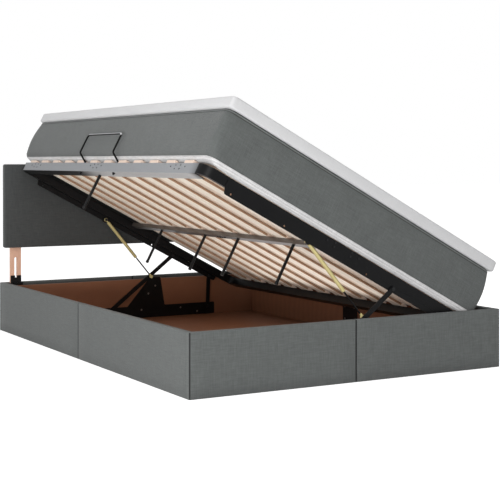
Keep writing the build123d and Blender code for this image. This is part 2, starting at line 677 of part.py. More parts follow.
def make_frame():
    """Four rails of the lid frame and its centre beam."""
    tube = frame_ring(0, RAIL_BOTTOM, RAIL_TOP)
    tube -= frame_ring(RAIL_WALL, RAIL_BOTTOM + RAIL_WALL, RAIL_TOP - RAIL_WALL)
    straight = FRAME_LENGTH / 2 - FRAME_CORNER
    low, high = RAIL_BOTTOM - OVERRUN, RAIL_TOP + OVERRUN
    y0, y1 = LID_CENTRE_Y - straight, LID_CENTRE_Y + straight
    edge = FRAME_WIDTH / 2 + OVERRUN
    left_cut = block(LID_CENTRE_S - edge, LID_CENTRE_S, y0, y1, low, high)
    right_cut = block(LID_CENTRE_S, LID_CENTRE_S + edge, y0, y1, low, high)
    left = tube & left_cut
    left += block(FRAME_LEFT, FRAME_LEFT + FLANGE_WIDTH, y0, y1, FLANGE_BOTTOM, RAIL_BOTTOM)
    post_s = FRAME_LEFT + HANDLE_POST_INSET
    for y in handle_posts():
        left -= bar((post_s, y, low), (post_s, y, high), HANDLE_RADIUS + FIT)
    for share in HOLE_GROUP_SHARES:
        for hole in hole_group(FRAME_LEFT, LID_CENTRE_Y + share * FRAME_LENGTH):
            left -= hole
    right = tube & right_cut
    right += block(FRAME_RIGHT - FLANGE_WIDTH, FRAME_RIGHT, y0, y1, FLANGE_BOTTOM, RAIL_BOTTOM)
    save("rail_left", raised(left))
    save("rail_right", raised(right))
    foot_cut = block(LID_CENTRE_S - edge, LID_CENTRE_S + edge, FRAME_FOOT - OVERRUN, y0, low, high)
    foot = tube & foot_cut
    save("end_rail_foot", raised(foot))
    save("end_rail_head", raised(at_head(foot)))
    half = BEAM_WIDTH / 2
    inner_half = half - BEAM_WALL
    bottom = RAIL_TOP - BEAM_HEIGHT
    b0, b1 = FRAME_FOOT + RAIL_WIDTH, FRAME_HEAD - RAIL_WIDTH
    beam = block(LID_CENTRE_S - half, LID_CENTRE_S + half, b0, b1, bottom, RAIL_TOP)
    beam -= block(LID_CENTRE_S - inner_half, LID_CENTRE_S + inner_half, b0 - OVERRUN, b1 + OVERRUN,
                  bottom + BEAM_WALL, RAIL_TOP - BEAM_WALL)
    save("centre_beam", raised(beam))


def make_legs():
    """Round legs under the beam and the left rail, their tips, and the beam's bolts."""
    beam_bottom = RAIL_TOP - BEAM_HEIGHT
    legs, tips = [], []
    reaches = (-OUTER_LEG_REACH, -INNER_LEG_REACH, INNER_LEG_REACH, OUTER_LEG_REACH)
    spots = [(LID_CENTRE_S, LID_CENTRE_Y + reach) for reach in reaches]
    for s, y in spots:
        top = CENTRE_LEG_BOTTOM + TIP_HEIGHT
        legs.append(raised(bar((s, y, top), (s, y, beam_bottom), LEG_RADIUS)))
        tips.append(raised(leg_tip(s, y, CENTRE_LEG_BOTTOM)))
    rail_s = FRAME_LEFT + RAIL_LEG_INSET
    top = RAIL_LEG_BOTTOM + TIP_HEIGHT
    rail_leg = bar((rail_s, RAIL_LEG_Y, top), (rail_s, RAIL_LEG_Y, FLANGE_BOTTOM), LEG_RADIUS)
    tips.append(raised(leg_tip(rail_s, RAIL_LEG_Y, RAIL_LEG_BOTTOM)))
    save("centre_legs", *legs)
    save("rail_leg", raised(rail_leg))
    save("leg_tips", *tips)
    bolts = []
    for index in range(BEAM_BOLTS):
        y = LID_CENTRE_Y + (index - (BEAM_BOLTS - 1) / 2) * BEAM_BOLT_PITCH
        head = RegularPolygon(BEAM_BOLT_RADIUS, 6)
        place = Pos(LID_CENTRE_S, y, beam_bottom - BEAM_BOLT_HEIGHT)
        bolts.append(raised(place * extrude(head, amount=BEAM_BOLT_HEIGHT)))
    save("beam_bolts", *bolts)


def leg_tip(s, y, bottom):
    """Rounded tip under one leg."""
    tip = bar((s, y, bottom), (s, y, bottom + TIP_HEIGHT), TIP_RADIUS)
    return fillet(tip.edges().sort_by(Axis.Z)[0], TIP_EDGE)


def slat_places():
    """Y of each slat of a row."""
    first = FRAME_FOOT + SLAT_END_INSET
    pitch = (FRAME_LENGTH - 2 * SLAT_END_INSET) / (SLATS_PER_ROW - 1)
    return [first + pitch * index for index in range(SLATS_PER_ROW)]


def make_slats():
    """Two rows of slats, and the moulded holders of their ends."""
    middle = HOLDER_WALL / 2
    spans = {
        "left": (FRAME_LEFT + 2 * HOLDER_WALL, LID_CENTRE_S - middle),
        "right": (LID_CENTRE_S + middle, FRAME_RIGHT - 2 * HOLDER_WALL),
    }
    top = RAIL_TOP + SLAT_THICKNESS
    half = SLAT_WIDTH / 2
    for row, (s0, s1) in spans.items():
        slats = []
        for y in slat_places():
            slat = block(s0, s1, y - half, y + half, RAIL_TOP, top)
            slats.append(raised(fillet(slat.edges().filter_by(Axis.X), SLAT_EDGE)))
        save(f"slats_{row}", *slats)
    holders = []
    grip = half + FIT
    for y in slat_places():
        left = holder(FRAME_LEFT, FRAME_LEFT + HOLDER_DEPTH, y)
        left -= block(spans["left"][0], FRAME_LEFT + HOLDER_DEPTH + OVERRUN, y - grip, y + grip,
                      RAIL_TOP - OVERRUN, top + FIT)
        right = holder(FRAME_RIGHT - HOLDER_DEPTH, FRAME_RIGHT, y)
        right -= block(FRAME_RIGHT - HOLDER_DEPTH - OVERRUN, spans["right"][1], y - grip, y + grip,
                       RAIL_TOP - OVERRUN, top + FIT)
        centre = holder(LID_CENTRE_S - CENTRE_HOLDER_DEPTH, LID_CENTRE_S + CENTRE_HOLDER_DEPTH, y)
        reach = CENTRE_HOLDER_DEPTH + OVERRUN
        for side in (-1, 1):
            s0, s1 = sorted((LID_CENTRE_S + side * middle, LID_CENTRE_S + side * reach))
            centre -= block(s0, s1, y - grip, y + grip, RAIL_TOP - OVERRUN, top + FIT)
        holders += [raised(left), raised(right), raised(centre)]
    save("slat_holders", *holders)


def holder(s0, s1, y):
    """Solid body of one slat holder before its pocket is cut."""
    half = SLAT_WIDTH / 2 + FIT + HOLDER_WALL
    return block(s0, s1, y - half, y + half, RAIL_TOP, HOLDER_TOP)


def make_handle():
    """Bent rod at the raised side, and its four nuts."""
    post_s = FRAME_LEFT + HANDLE_POST_INSET
    out_s = post_s - HANDLE_REACH
    low = FLANGE_BOTTOM - HANDLE_THREAD
    y0, y1 = handle_posts()
    corners = [
        (post_s, y0, low),
        (post_s, y0, HANDLE_SHOULDER_LOW),
        (out_s, y0, HANDLE_SHOULDER_HIGH),
        (out_s, y0, HANDLE_TOP),
        (out_s, y1, HANDLE_TOP),
        (out_s, y1, HANDLE_SHOULDER_HIGH),
        (post_s, y1, HANDLE_SHOULDER_LOW),
        (post_s, y1, low),
    ]
    bends = [HANDLE_FOOT_BEND] + [HANDLE_BEND] * 4 + [HANDLE_FOOT_BEND]
    path = FilletPolyline(*corners, radius=bends)
    section = Plane(origin=corners[0], z_dir=(0, 0, 1)) * Circle(HANDLE_RADIUS)
    save("handle", raised(sweep(section, path=path)))
    nuts = []
    for y in (y0, y1):
        ring = RegularPolygon(HANDLE_NUT_RADIUS, 6) - Circle(HANDLE_RADIUS + RUNNING_FIT)
        under = FLANGE_BOTTOM - HANDLE_NUT_HEIGHT
        nuts.append(raised(Pos(post_s, y, under) * extrude(ring, amount=HANDLE_NUT_HEIGHT)))
    save("handle_nuts", *nuts)


# Lift mechanism

def end_plate_outline():
    """Outline of the pressed plate with its lugs, in the lid's frame."""
    points = [
        (END_PLATE_LEFT, END_PLATE_TOP),
        (END_PLATE_LEFT, RAIL_BOTTOM),
        (END_PLATE_LEFT + END_PLATE_STEP, END_PLATE_BOTTOM),
        (END_PLATE_RIGHT, END_PLATE_BOTTOM),
        (END_PLATE_RIGHT, END_PLATE_TOP),
    ]
    face = fillet(make_face(Polyline(*points, close=True)).vertices(), END_PLATE_CORNER)
    face += dot((STRUT_PIVOT_S, STRUT_PIVOT_N), LUG_RADIUS)
    face += dot((LONG_PIVOT_S, LONG_PIVOT_N), LUG_RADIUS)
    face += dot((SHORT_PIVOT_S, SHORT_PIVOT_N), LUG_RADIUS)
    for share in PLATE_HOLE_SHARES:
        s = END_PLATE_LEFT + share * (END_PLATE_RIGHT - END_PLATE_LEFT)
        face -= dot((s, END_PLATE_BOTTOM + PLATE_HOLE_RISE), PLATE_HOLE_RADIUS)
    return face


def make_end_plates():
    """Pressed plates on the outer faces of the end rails, and their bolts."""
    outer, inner = layer(PLATE_LAYER), layer(PLATE_LAYER + SHEET)
    outline = end_plate_outline()
    outline -= dot((LONG_PIVOT_S, LONG_PIVOT_N), PIN_RADIUS + RUNNING_FIT)
    plate = sheet(outline, outer, inner)
    ridge_end = RIDGE_START + RIDGE_LENGTH
    ridge_high = RIDGE_LOW + RIDGE_WIDTH
    plate += block(RIDGE_START, ridge_end, outer - RIDGE_HEIGHT, outer, RIDGE_LOW, ridge_high)
    save("end_plate_foot", raised(plate))
    save("end_plate_head", raised(at_head(plate)))
    spots = [
        (-PLATE_BOLT_OUTER_REACH, HOLE_MID_DROP + RAIL_WALL),
        (PLATE_BOLT_OUTER_REACH, HOLE_MID_DROP + RAIL_WALL),
        (-PLATE_BOLT_INNER_REACH, HOLE_HIGH_DROP),
        (PLATE_BOLT_INNER_REACH, HOLE_HIGH_DROP),
        (-PLATE_BOLT_INNER_REACH, HOLE_LOW_DROP + RAIL_WALL),
        (PLATE_BOLT_INNER_REACH, HOLE_LOW_DROP + RAIL_WALL),
    ]
    bolts = []
    for reach, drop in spots:
        spot = (LID_CENTRE_S + reach, RAIL_TOP - drop)
        bolt = sheet(dot(spot, PLATE_BOLT_RADIUS), outer - PLATE_BOLT_HEIGHT, outer)
        bolts += [raised(bolt), raised(at_head(bolt))]
    save("plate_bolts", *bolts)


def make_lid_pins():
    """Pins of the long links, blind nuts of the short links and studs of the struts."""
    plate_in = PLATE_LAYER + SHEET
    long_spot = (LONG_PIVOT_S, LONG_PIVOT_N)
    head = LINK_LAYER - FIT
    pin = sheet(dot(long_spot, PIN_RADIUS), layer(head), layer(plate_in))
    pin += sheet(dot(long_spot, PIN_HEAD_RADIUS), layer(head - PIN_HEAD_HEIGHT), layer(head))
    pin += sheet(dot(long_spot, PIN_HEAD_RADIUS), layer(plate_in), layer(plate_in + PIN_NUT_HEIGHT))
    short_spot = (SHORT_PIVOT_S, SHORT_PIVOT_N)
    nut = sheet(dot(short_spot, PIN_HEAD_RADIUS), layer(plate_in), layer(plate_in + PIN_NUT_HEIGHT))
    stud_spot = (STRUT_PIVOT_S, STRUT_PIVOT_N)
    eye_low = STRUT_LAYER - STRUT_EYE_THICKNESS / 2 - FIT
    eye_high = STRUT_LAYER + STRUT_EYE_THICKNESS / 2 + FIT
    stud = sheet(dot(stud_spot, STRUT_STUD_RADIUS), layer(plate_in), layer(eye_high))
    stud += sheet(dot(stud_spot, STUD_SPACER_RADIUS), layer(plate_in), layer(eye_low))
    stud += sheet(dot(stud_spot, STUD_SPACER_RADIUS), layer(eye_high), layer(eye_high + PIN_HEAD_HEIGHT))
    pieces = []
    for piece in (pin, nut, stud):
        pieces += [raised(piece), raised(at_head(piece))]
    save("lid_pins", *pieces)


def link_outline(start, end):
    """Outline of a flat link with round ends."""
    length = hypot(end[0] - start[0], end[1] - start[1])
    middle = ((start[0] + end[0]) / 2, (start[1] + end[1]) / 2)
    turn = degrees(atan2(end[1] - start[1], end[0] - start[0]))
    return Pos(middle[0], middle[1]) * SlotCenterToCenter(length, LINK_WIDTH, rotation=turn)


def make_links():
    """Long and short links at both ends."""
    low, high = layer(LINK_LAYER), layer(LINK_LAYER + LINK_THICKNESS)
    outline = link_outline(LONG_BASE, LONG_TOP) + dot(STRUT_FOOT, LINK_LUG_RADIUS)
    for spot in (LONG_BASE, LONG_TOP):
        outline -= dot(spot, PIN_RADIUS + RUNNING_FIT)
    long_link = sheet(outline, low, high)
    long_link += sheet(dot(STRUT_FOOT, PIN_RADIUS), high, high + LINK_STUD_LENGTH)
    save("long_link_foot", long_link)
    save("long_link_head", at_head(long_link))
    outline = link_outline(SHORT_BASE, SHORT_TOP) - dot(SHORT_BASE, PIN_RADIUS + RUNNING_FIT)
    short_link = sheet(outline, low, high)
    stud_end = layer(PLATE_LAYER - RIDGE_HEIGHT - FIT)
    short_link += sheet(dot(SHORT_TOP, PIN_RADIUS), high, stud_end)
    short_link += sheet(dot(SHORT_TOP, PIN_HEAD_RADIUS), low - PIN_HEAD_HEIGHT, low)
    save("short_link_foot", short_link)
    save("short_link_head", at_head(short_link))


def make_struts():
    """Gas struts: a tube hung from the lid and a rod that ends at the long link."""
    y = layer(STRUT_LAYER)
    y0, y1 = y - STRUT_EYE_THICKNESS / 2, y + STRUT_EYE_THICKNESS / 2
    length = hypot(STRUT_FOOT[0] - STRUT_TOP[0], STRUT_FOOT[1] - STRUT_TOP[1])

    def along(distance):
        x, z = beside(STRUT_TOP, STRUT_FOOT, distance, 0)
        return (x, y, z)

    tube = bar(along(STRUT_TUBE_START), along(STRUT_TUBE_END), STRUT_TUBE_RADIUS)
    tube += bar(along(0), along(STRUT_TUBE_START), STRUT_NECK_RADIUS)
    tube += sheet(dot(STRUT_TOP, STRUT_EYE_RADIUS), y0, y1)
    tube -= sheet(dot(STRUT_TOP, STRUT_STUD_RADIUS + RUNNING_FIT), y0 - OVERRUN, y1 + OVERRUN)
    bore = STRUT_TUBE_RADIUS - STRUT_TUBE_WALL
    bore_start = STRUT_TUBE_START + STRUT_END_WALL
    bore_end = STRUT_TUBE_END - STRUT_END_WALL
    tube -= bar(along(bore_start), along(bore_end), bore)
    tube -= bar(along(bore_end), along(STRUT_TUBE_END + OVERRUN), ROD_RADIUS + RUNNING_FIT)
    save("strut_tube_foot", tube)
    save("strut_tube_head", at_head(tube))
    rod_start = length - ROD_LENGTH
    rod = bar(along(rod_start), along(length - ROD_SLEEVE_LENGTH), ROD_RADIUS)
    rod += bar(along(rod_start), along(rod_start + PISTON_LENGTH), bore - RUNNING_FIT)
    fitting = bar(along(length - ROD_SLEEVE_LENGTH), along(length), ROD_SLEEVE_RADIUS)
    fitting += sheet(dot(STRUT_FOOT, ROD_EYE_RADIUS), y0, y1)
    fitting += sheet(dot(STRUT_FOOT, PIN_RADIUS), y0 - ROD_BOSS_LENGTH, y0)
    save("strut_rod_foot", rod, fitting)
    save("strut_rod_head", at_head(rod), at_head(fitting))


# Bedding

def soft_pad(width, length, corner, levels):
    """Pad built through rounded outlines, each an inset and a height. Corners are rounder further in."""
    outlines = []
    for inset, height in levels:
        outline = RectangleRounded(width - 2 * inset, length - 2 * inset, corner + inset)
        outlines.append(Pos(LID_CENTRE_S + BEDDING_SLIP, LID_CENTRE_Y, height) * outline)
    return loft(outlines, ruled=True)


def lower_edge(radius, bottom, tuck):
    """Levels of a rounded lower edge that is tucked in."""
    angles = [radians(90 * step / EDGE_STEPS) for step in range(EDGE_STEPS + 1)]
    return [(tuck + radius * (1 - sin(angle)), bottom + radius * (1 - cos(angle))) for angle in angles]


def upper_edge(radius, top, draw_in):
    """Levels of a rounded upper edge on sides that are drawn in."""
    angles = [radians(90 * step / EDGE_STEPS) for step in range(EDGE_STEPS + 1)]
    return [(draw_in + radius * (1 - cos(angle)), top - radius * (1 - sin(angle))) for angle in angles]


def make_bedding():
    """Mattress with bellied sides and a topper with a crown, both slid a little to the hinge side."""
    lower = lower_edge(MATTRESS_LOWER_EDGE, MATTRESS_BOTTOM, MATTRESS_TUCK)
    belly = (0, MATTRESS_BOTTOM + MATTRESS_BELLY_RISE)
    upper = upper_edge(MATTRESS_UPPER_EDGE, MATTRESS_TOP, MATTRESS_DRAW_IN)
    levels = lower + [belly] + upper
    mattress = soft_pad(MATTRESS_WIDTH, MATTRESS_LENGTH, MATTRESS_CORNER, levels)
    save("mattress", raised(mattress))
    length = MATTRESS_LENGTH + 2 * TOPPER_END_REACH
    side_top = TOPPER_BOTTOM + TOPPER_HEIGHT - TOPPER_CROWN
    levels = lower_edge(TOPPER_EDGE, TOPPER_BOTTOM, 0) + upper_edge(TOPPER_EDGE, side_top, 0)
    base = soft_pad(MATTRESS_WIDTH, length, TOPPER_CORNER, levels)
    crown_inset = TOPPER_EDGE + TOPPER_CROWN_INSET
    levels = [(TOPPER_EDGE, side_top), (crown_inset, side_top + TOPPER_CROWN)]
    crown = soft_pad(MATTRESS_WIDTH, length, TOPPER_CORNER, levels)
    save("topper", raised(base + crown))


def main():
    """Write every piece."""
    os.makedirs("parts", exist_ok=True)
    make_panels()
    make_floor()
    make_seam_plates()
    make_corner_angles()
    make_bases()
    make_screws()
    make_headboard()
    make_frame()
    make_legs()
    make_slats()
    make_handle()
    make_end_plates()
    make_lid_pins()
    make_links()
    make_struts()
    make_bedding()


main()
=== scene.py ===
"""Looks of the storage bed: its lid raised on struts, with mattress, topper and headboard."""

import logging
import math
from dataclasses import dataclass, field
from enum import Enum, IntEnum
from typing import Dict, List, Optional, Sequence, Tuple, Union

import bmesh
import bpy
from mathutils import Matrix, Vector

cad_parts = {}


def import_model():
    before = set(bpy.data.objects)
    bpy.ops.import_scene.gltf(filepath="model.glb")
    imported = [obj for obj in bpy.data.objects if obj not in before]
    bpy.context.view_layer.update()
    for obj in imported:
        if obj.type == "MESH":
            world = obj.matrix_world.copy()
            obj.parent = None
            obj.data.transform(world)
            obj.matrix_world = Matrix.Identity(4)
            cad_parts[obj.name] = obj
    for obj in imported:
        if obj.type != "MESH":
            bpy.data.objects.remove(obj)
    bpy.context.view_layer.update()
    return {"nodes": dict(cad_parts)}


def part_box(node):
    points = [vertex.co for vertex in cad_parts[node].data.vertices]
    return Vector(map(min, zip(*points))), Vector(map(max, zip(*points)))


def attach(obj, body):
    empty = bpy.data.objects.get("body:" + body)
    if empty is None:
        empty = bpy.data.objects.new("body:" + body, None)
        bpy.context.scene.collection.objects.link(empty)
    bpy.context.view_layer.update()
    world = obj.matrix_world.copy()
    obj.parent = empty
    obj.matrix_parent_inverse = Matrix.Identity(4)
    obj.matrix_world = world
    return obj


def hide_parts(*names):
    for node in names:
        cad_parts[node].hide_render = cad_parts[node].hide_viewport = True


Point = Tuple[float, float, float]
Color = Tuple[float, float, float]
Tree = bpy.types.NodeTree
Node = bpy.types.Node
Socket = bpy.types.NodeSocket
Value = Union[bpy.types.NodeSocket, float]
Shade = Union[bpy.types.NodeSocket, Color]

LOG = logging.getLogger("storage_bed")
LID_TILT = math.radians(27.9)
WHITE = (1.0, 1.0, 1.0, 1.0)
CLOTH_SHEEN = 0.15
CLOTH_SPECULAR = 0.25
CLOSE = 1e-4
VERY_CLOSE = 1e-5
FACES_ALONG = 0.9
# Distances from the box's middle at which the painted shade of a seam starts and is full.
MIDDLE_SEAM = (0.0050, 0.0025)
CORNER_ACROSS = (0.7150, 0.7165)
CORNER_ALONG = (1.0500, 1.0520)
# Cuts beside each end of a pad, as shares of its corner radius.
CORNER_CUTS = (0.15, 0.4, 0.8, 1.4, 2.0, 2.8)
LOWER_CUTS = 6
UPPER_CUTS = 4


class Axis(IntEnum):
    """Index of each axis."""

    X = 0
    Y = 1
    Z = 2


class Grain(Enum):
    """The way in which wood grain runs, as the turn about Y that it takes."""

    ALONG_X = 0.0
    ALONG_Z = math.pi / 2


def srgb(red: int, green: int, blue: int) -> Color:
    """Turn a screen colour into a linear one.

    Args:
        red: Red from 0 to 255.
        green: Green from 0 to 255.
        blue: Blue from 0 to 255.

    Returns:
        The linear colour.
    """
    parts = [value / 255 for value in (red, green, blue)]
    return tuple(part / 12.92 if part <= 0.04045 else ((part + 0.055) / 1.055) ** 2.4 for part in parts)


class Groups:
    """Shader node groups that several finishes share."""

    WEFT_SCALE = (26.0, 26.0, 300.0)
    WARP_SCALE = (300.0, 300.0, 26.0)
    FIBRE_SCALE = (4.0, 140.0, 140.0)
    WAVE_SHARE = 0.333
    FINE_TONE = 0.18
    SLUB_RELIEF = 0.6
    RING_SHARE = 0.4
    BROAD_SHARE = 0.3
    FIBRE_SHARE = 0.3

    def __init__(self) -> None:
        """Build each group once."""
        self.weave = self._weave()
        self.grain = self._grain()
        self.wear = self._wear()

    @staticmethod
    def _shell(name: str, inputs: Dict[str, float], outputs: Dict[str, str]) -> Tree:
        """Make an empty group with named sockets.

        Args:
            name: The group's name.
            inputs: Default of each float input.
            outputs: Socket type of each output.

        Returns:
            The group's tree.
        """
        tree = bpy.data.node_groups.new(name, "ShaderNodeTree")
        tree.interface.new_socket("Vector", in_out="INPUT", socket_type="NodeSocketVector")
        for label, default in inputs.items():
            socket = tree.interface.new_socket(label, in_out="INPUT", socket_type="NodeSocketFloat")
            socket.default_value = default
        for label, kind in outputs.items():
            tree.interface.new_socket(label, in_out="OUTPUT", socket_type=kind)
        tree.nodes.new("NodeGroupInput")
        tree.nodes.new("NodeGroupOutput")
        return tree

    @staticmethod
    def _ends(tree: Tree) -> Tuple[Node, Node]:
        """Find the group's ends.

        Args:
            tree: The group's tree.

        Returns:
            Its input node and its output node.
        """
        source = next(n for n in tree.nodes if n.bl_idname == "NodeGroupInput")
        sink = next(n for n in tree.nodes if n.bl_idname == "NodeGroupOutput")
        return source, sink

    def _weave(self) -> Tree:
        """Woven cloth: threads both ways, slubs and broad mottling.

        Returns:
            A group that puts out a tone around 1 and a height.
        """
        tree = self._shell("cloth_weave", {"Threads": 900.0, "Slub": 0.5, "Mottle": 0.5},
                           {"Tone": "NodeSocketFloat", "Height": "NodeSocketFloat"})
        source, sink = self._ends(tree)
        link = tree.links.new
        waves = []
        for axis in ("X", "Y", "Z"):
            wave = tree.nodes.new("ShaderNodeTexWave")
            wave.bands_direction = axis
            wave.inputs["Distortion"].default_value = 1.2
            wave.inputs["Detail"].default_value = 1.0
            wave.inputs["Detail Scale"].default_value = 0.4
            link(source.outputs["Vector"], wave.inputs["Vector"])
            link(source.outputs["Threads"], wave.inputs["Scale"])
            waves.append(wave)
        pair = math_node(tree, "ADD", waves[0].outputs["Fac"], waves[1].outputs["Fac"])
        total = math_node(tree, "ADD", pair, waves[2].outputs["Fac"])
        height = math_node(tree, "MULTIPLY", total, self.WAVE_SHARE)
        vector = source.outputs["Vector"]
        threads = [noise(tree, mapped(tree, vector, "Scale", scale), scale=1.0, detail=2.0)
                   for scale in (self.WEFT_SCALE, self.WARP_SCALE)]
        slub = math_node(tree, "MULTIPLY", math_node(tree, "ADD", *threads), 0.5)
        slub_part = self._swing(tree, slub, source.outputs["Slub"])
        broad = noise(tree, vector, scale=9.0, detail=4.0)
        broad_part = self._swing(tree, broad, source.outputs["Mottle"])
        fine_part = self._swing(tree, height, self.FINE_TONE)
        tone = math_node(tree, "ADD", math_node(tree, "ADD", slub_part, broad_part), fine_part)
        link(math_node(tree, "ADD", tone, 1.0), sink.inputs["Tone"])
        relief = math_node(tree, "ADD", height, math_node(tree, "MULTIPLY", slub, self.SLUB_RELIEF))
        link(relief, sink.inputs["Height"])
        return tree

    @staticmethod
    def _swing(tree: Tree, value: Socket, amount: Value) -> Socket:
        """Centre a pattern on 0 and scale it.

        Args:
            tree: The group's tree.
            value: The pattern, from 0 to 1.
            amount: How strong it gets.

        Returns:
            The scaled pattern.
        """
        return math_node(tree, "MULTIPLY", math_node(tree, "SUBTRACT", value, 0.5), amount)

    def _grain(self) -> Tree:
        """Wood grain drawn out along one axis.

        Returns:
            A group that puts out a mask from pale to dark and a height.
        """
        tree = self._shell("wood_grain", {"Rings": 5.0},
                           {"Mask": "NodeSocketFloat", "Height": "NodeSocketFloat"})
        source, sink = self._ends(tree)
        link = tree.links.new
        broad = noise(tree, source.outputs["Vector"], scale=3.0, detail=3.0)
        wave = tree.nodes.new("ShaderNodeTexWave")
        wave.bands_direction = "Y"
        link(source.outputs["Vector"], wave.inputs["Vector"])
        link(source.outputs["Rings"], wave.inputs["Scale"])
        wave.inputs["Distortion"].default_value = 5.0
        wave.inputs["Detail"].default_value = 3.0
        fibres = mapped(tree, source.outputs["Vector"], "Scale", self.FIBRE_SCALE)
        fine = noise(tree, fibres, scale=1.5, detail=4.0)
        rings = math_node(tree, "MULTIPLY", wave.outputs["Fac"], self.RING_SHARE)
        mixed = math_node(tree, "ADD", rings, math_node(tree, "MULTIPLY", broad, self.BROAD_SHARE))
        fine_part = math_node(tree, "MULTIPLY", fine, self.FIBRE_SHARE)
        link(math_node(tree, "ADD", mixed, fine_part), sink.inputs["Mask"])
        link(fine, sink.inputs["Height"])
        return tree

    def _wear(self) -> Tree:
        """Fine scuffs and dust on paint and moulded parts.

        Returns:
            A group that puts out a mask and a height.
        """
        tree = self._shell("scuffs", {"Size": 40.0, "Amount": 0.3},
                           {"Mask": "NodeSocketFloat", "Height": "NodeSocketFloat"})
        source, sink = self._ends(tree)
        link = tree.links.new
        coarse = noise(tree, source.outputs["Vector"], scale=18.0, detail=5.0)
        fine = tree.nodes.new("ShaderNodeTexNoise")
        fine.inputs["Detail"].default_value = 6.0
        link(source.outputs["Vector"], fine.inputs["Vector"])
        link(source.outputs["Size"], fine.inputs["Scale"])
        both = math_node(tree, "MULTIPLY", coarse, fine.outputs["Fac"])
        link(math_node(tree, "MULTIPLY", both, source.outputs["Amount"]), sink.inputs["Mask"])
        link(fine.outputs["Fac"], sink.inputs["Height"])
        return tree


def math_node(tree: Tree, operation: str, first: Value, second: Value = 0.0) -> Socket:
    """Add a Math node.

    Args:
        tree: The tree that gets the node.
        operation: The node's operation.
        first: A socket or a number.
        second: A socket or a number.

    Returns:
        The node's output.
    """
    node = tree.nodes.new("ShaderNodeMath")
    node.operation = operation
    for socket, value in zip(node.inputs, (first, second)):
        if isinstance(value, (int, float)):
            socket.default_value = value
        else:
            tree.links.new(value, socket)
    return node.outputs[0]


def noise(tree: Tree, vector: Socket, scale: float, detail: float) -> Socket:
    """Add a noise texture.

    Args:
        tree: The tree that gets the node.
        vector: The coordinates.
        scale: The noise's scale.
        detail: The noise's detail.

    Returns:
        The noise's value.
    """
    node = tree.nodes.new("ShaderNodeTexNoise")
    node.inputs["Scale"].default_value = scale
    node.inputs["Detail"].default_value = detail
    tree.links.new(vector, node.inputs["Vector"])
    return node.outputs["Fac"]


def mapped(tree: Tree, vector: Socket, label: str, value: Point) -> Socket:
    """Turn or scale coordinates.

    Args:
        tree: The tree that gets the node.
        vector: The coordinates.
        label: Rotation or Scale.
        value: The setting along each axis.

    Returns:
        The mapped coordinates.
    """
    node = tree.nodes.new("ShaderNodeMapping")
    node.inputs[label].default_value = value
    tree.links.new(vector, node.inputs["Vector"])
    return node.outputs["Vector"]


def facing_node(tree: Tree, normal: Point) -> Socket:
    """Find how far the surface faces a direction.

    Args:
        tree: The tree that gets the nodes.
        normal: The direction, of length 1.

    Returns:
        The share, from -1 to 1.
    """
    sides = tree.nodes.new("ShaderNodeTexCoord")
    dot = tree.nodes.new("ShaderNodeVectorMath")
    dot.operation = "DOT_PRODUCT"
    dot.inputs[1].default_value = normal
    tree.links.new(sides.outputs["Normal"], dot.inputs[0])
    return dot.outputs["Value"]


def mix_node(tree: Tree, factor: Value, first: Shade, second: Shade, mode: str = "MIX") -> Socket:
    """Mix two colours.

    Args:
        tree: The tree that gets the node.
        factor: Share of the second colour, a socket or a number.
        first: A socket or a colour.
        second: A socket or a colour.
        mode: The node's blend mode.

    Returns:
        The mixed colour.
    """
    node = tree.nodes.new("ShaderNodeMix")
    node.data_type = "RGBA"
    node.blend_type = mode
    for label, value in (("Factor", factor), ("A", first), ("B", second)):
        if isinstance(value, float):
            node.inputs[label].default_value = value
        elif isinstance(value, tuple):
            node.inputs[label].default_value = (*value, 1.0)
        else:
            tree.links.new(value, node.inputs[label])
    return node.outputs["Result"]


@dataclass(frozen=True)
class Patch:
    """Part of a piece with a colour of its own, or with painted light or shade.

    Each range names an axis, where the colour starts and where it is full. The normal keeps it to faces
    that look that way.
    """

    color: Color
    ranges: Tuple[Tuple[str, float, float], ...]
    normal: Optional[Point] = None
    least: float = 0.8

    def over(self, tree: Tree, vector: Socket, color: Socket) -> Socket:
        """Lay the patch over a colour.

        Args:
            tree: The material's tree.
            vector: The coordinates.
            color: The colour under the patch.

        Returns:
            The mixed colour.
        """
        split = tree.nodes.new("ShaderNodeSeparateXYZ")
        tree.links.new(vector, split.inputs["Vector"])
        mask = None
        for axis, start, end in self.ranges:
            fade = tree.nodes.new("ShaderNodeMapRange")
            fade.interpolation_type = "SMOOTHSTEP"
            fade.inputs["From Min"].default_value = start
            fade.inputs["From Max"].default_value = end
            tree.links.new(split.outputs[axis], fade.inputs["Value"])
            part = fade.outputs["Result"]
            mask = part if mask is None else math_node(tree, "MULTIPLY", mask, part)
        if self.normal is not None:
            facing = math_node(tree, "GREATER_THAN", facing_node(tree, self.normal), self.least)
            mask = math_node(tree, "MULTIPLY", mask, facing)
        return mix_node(tree, mask, color, self.color)


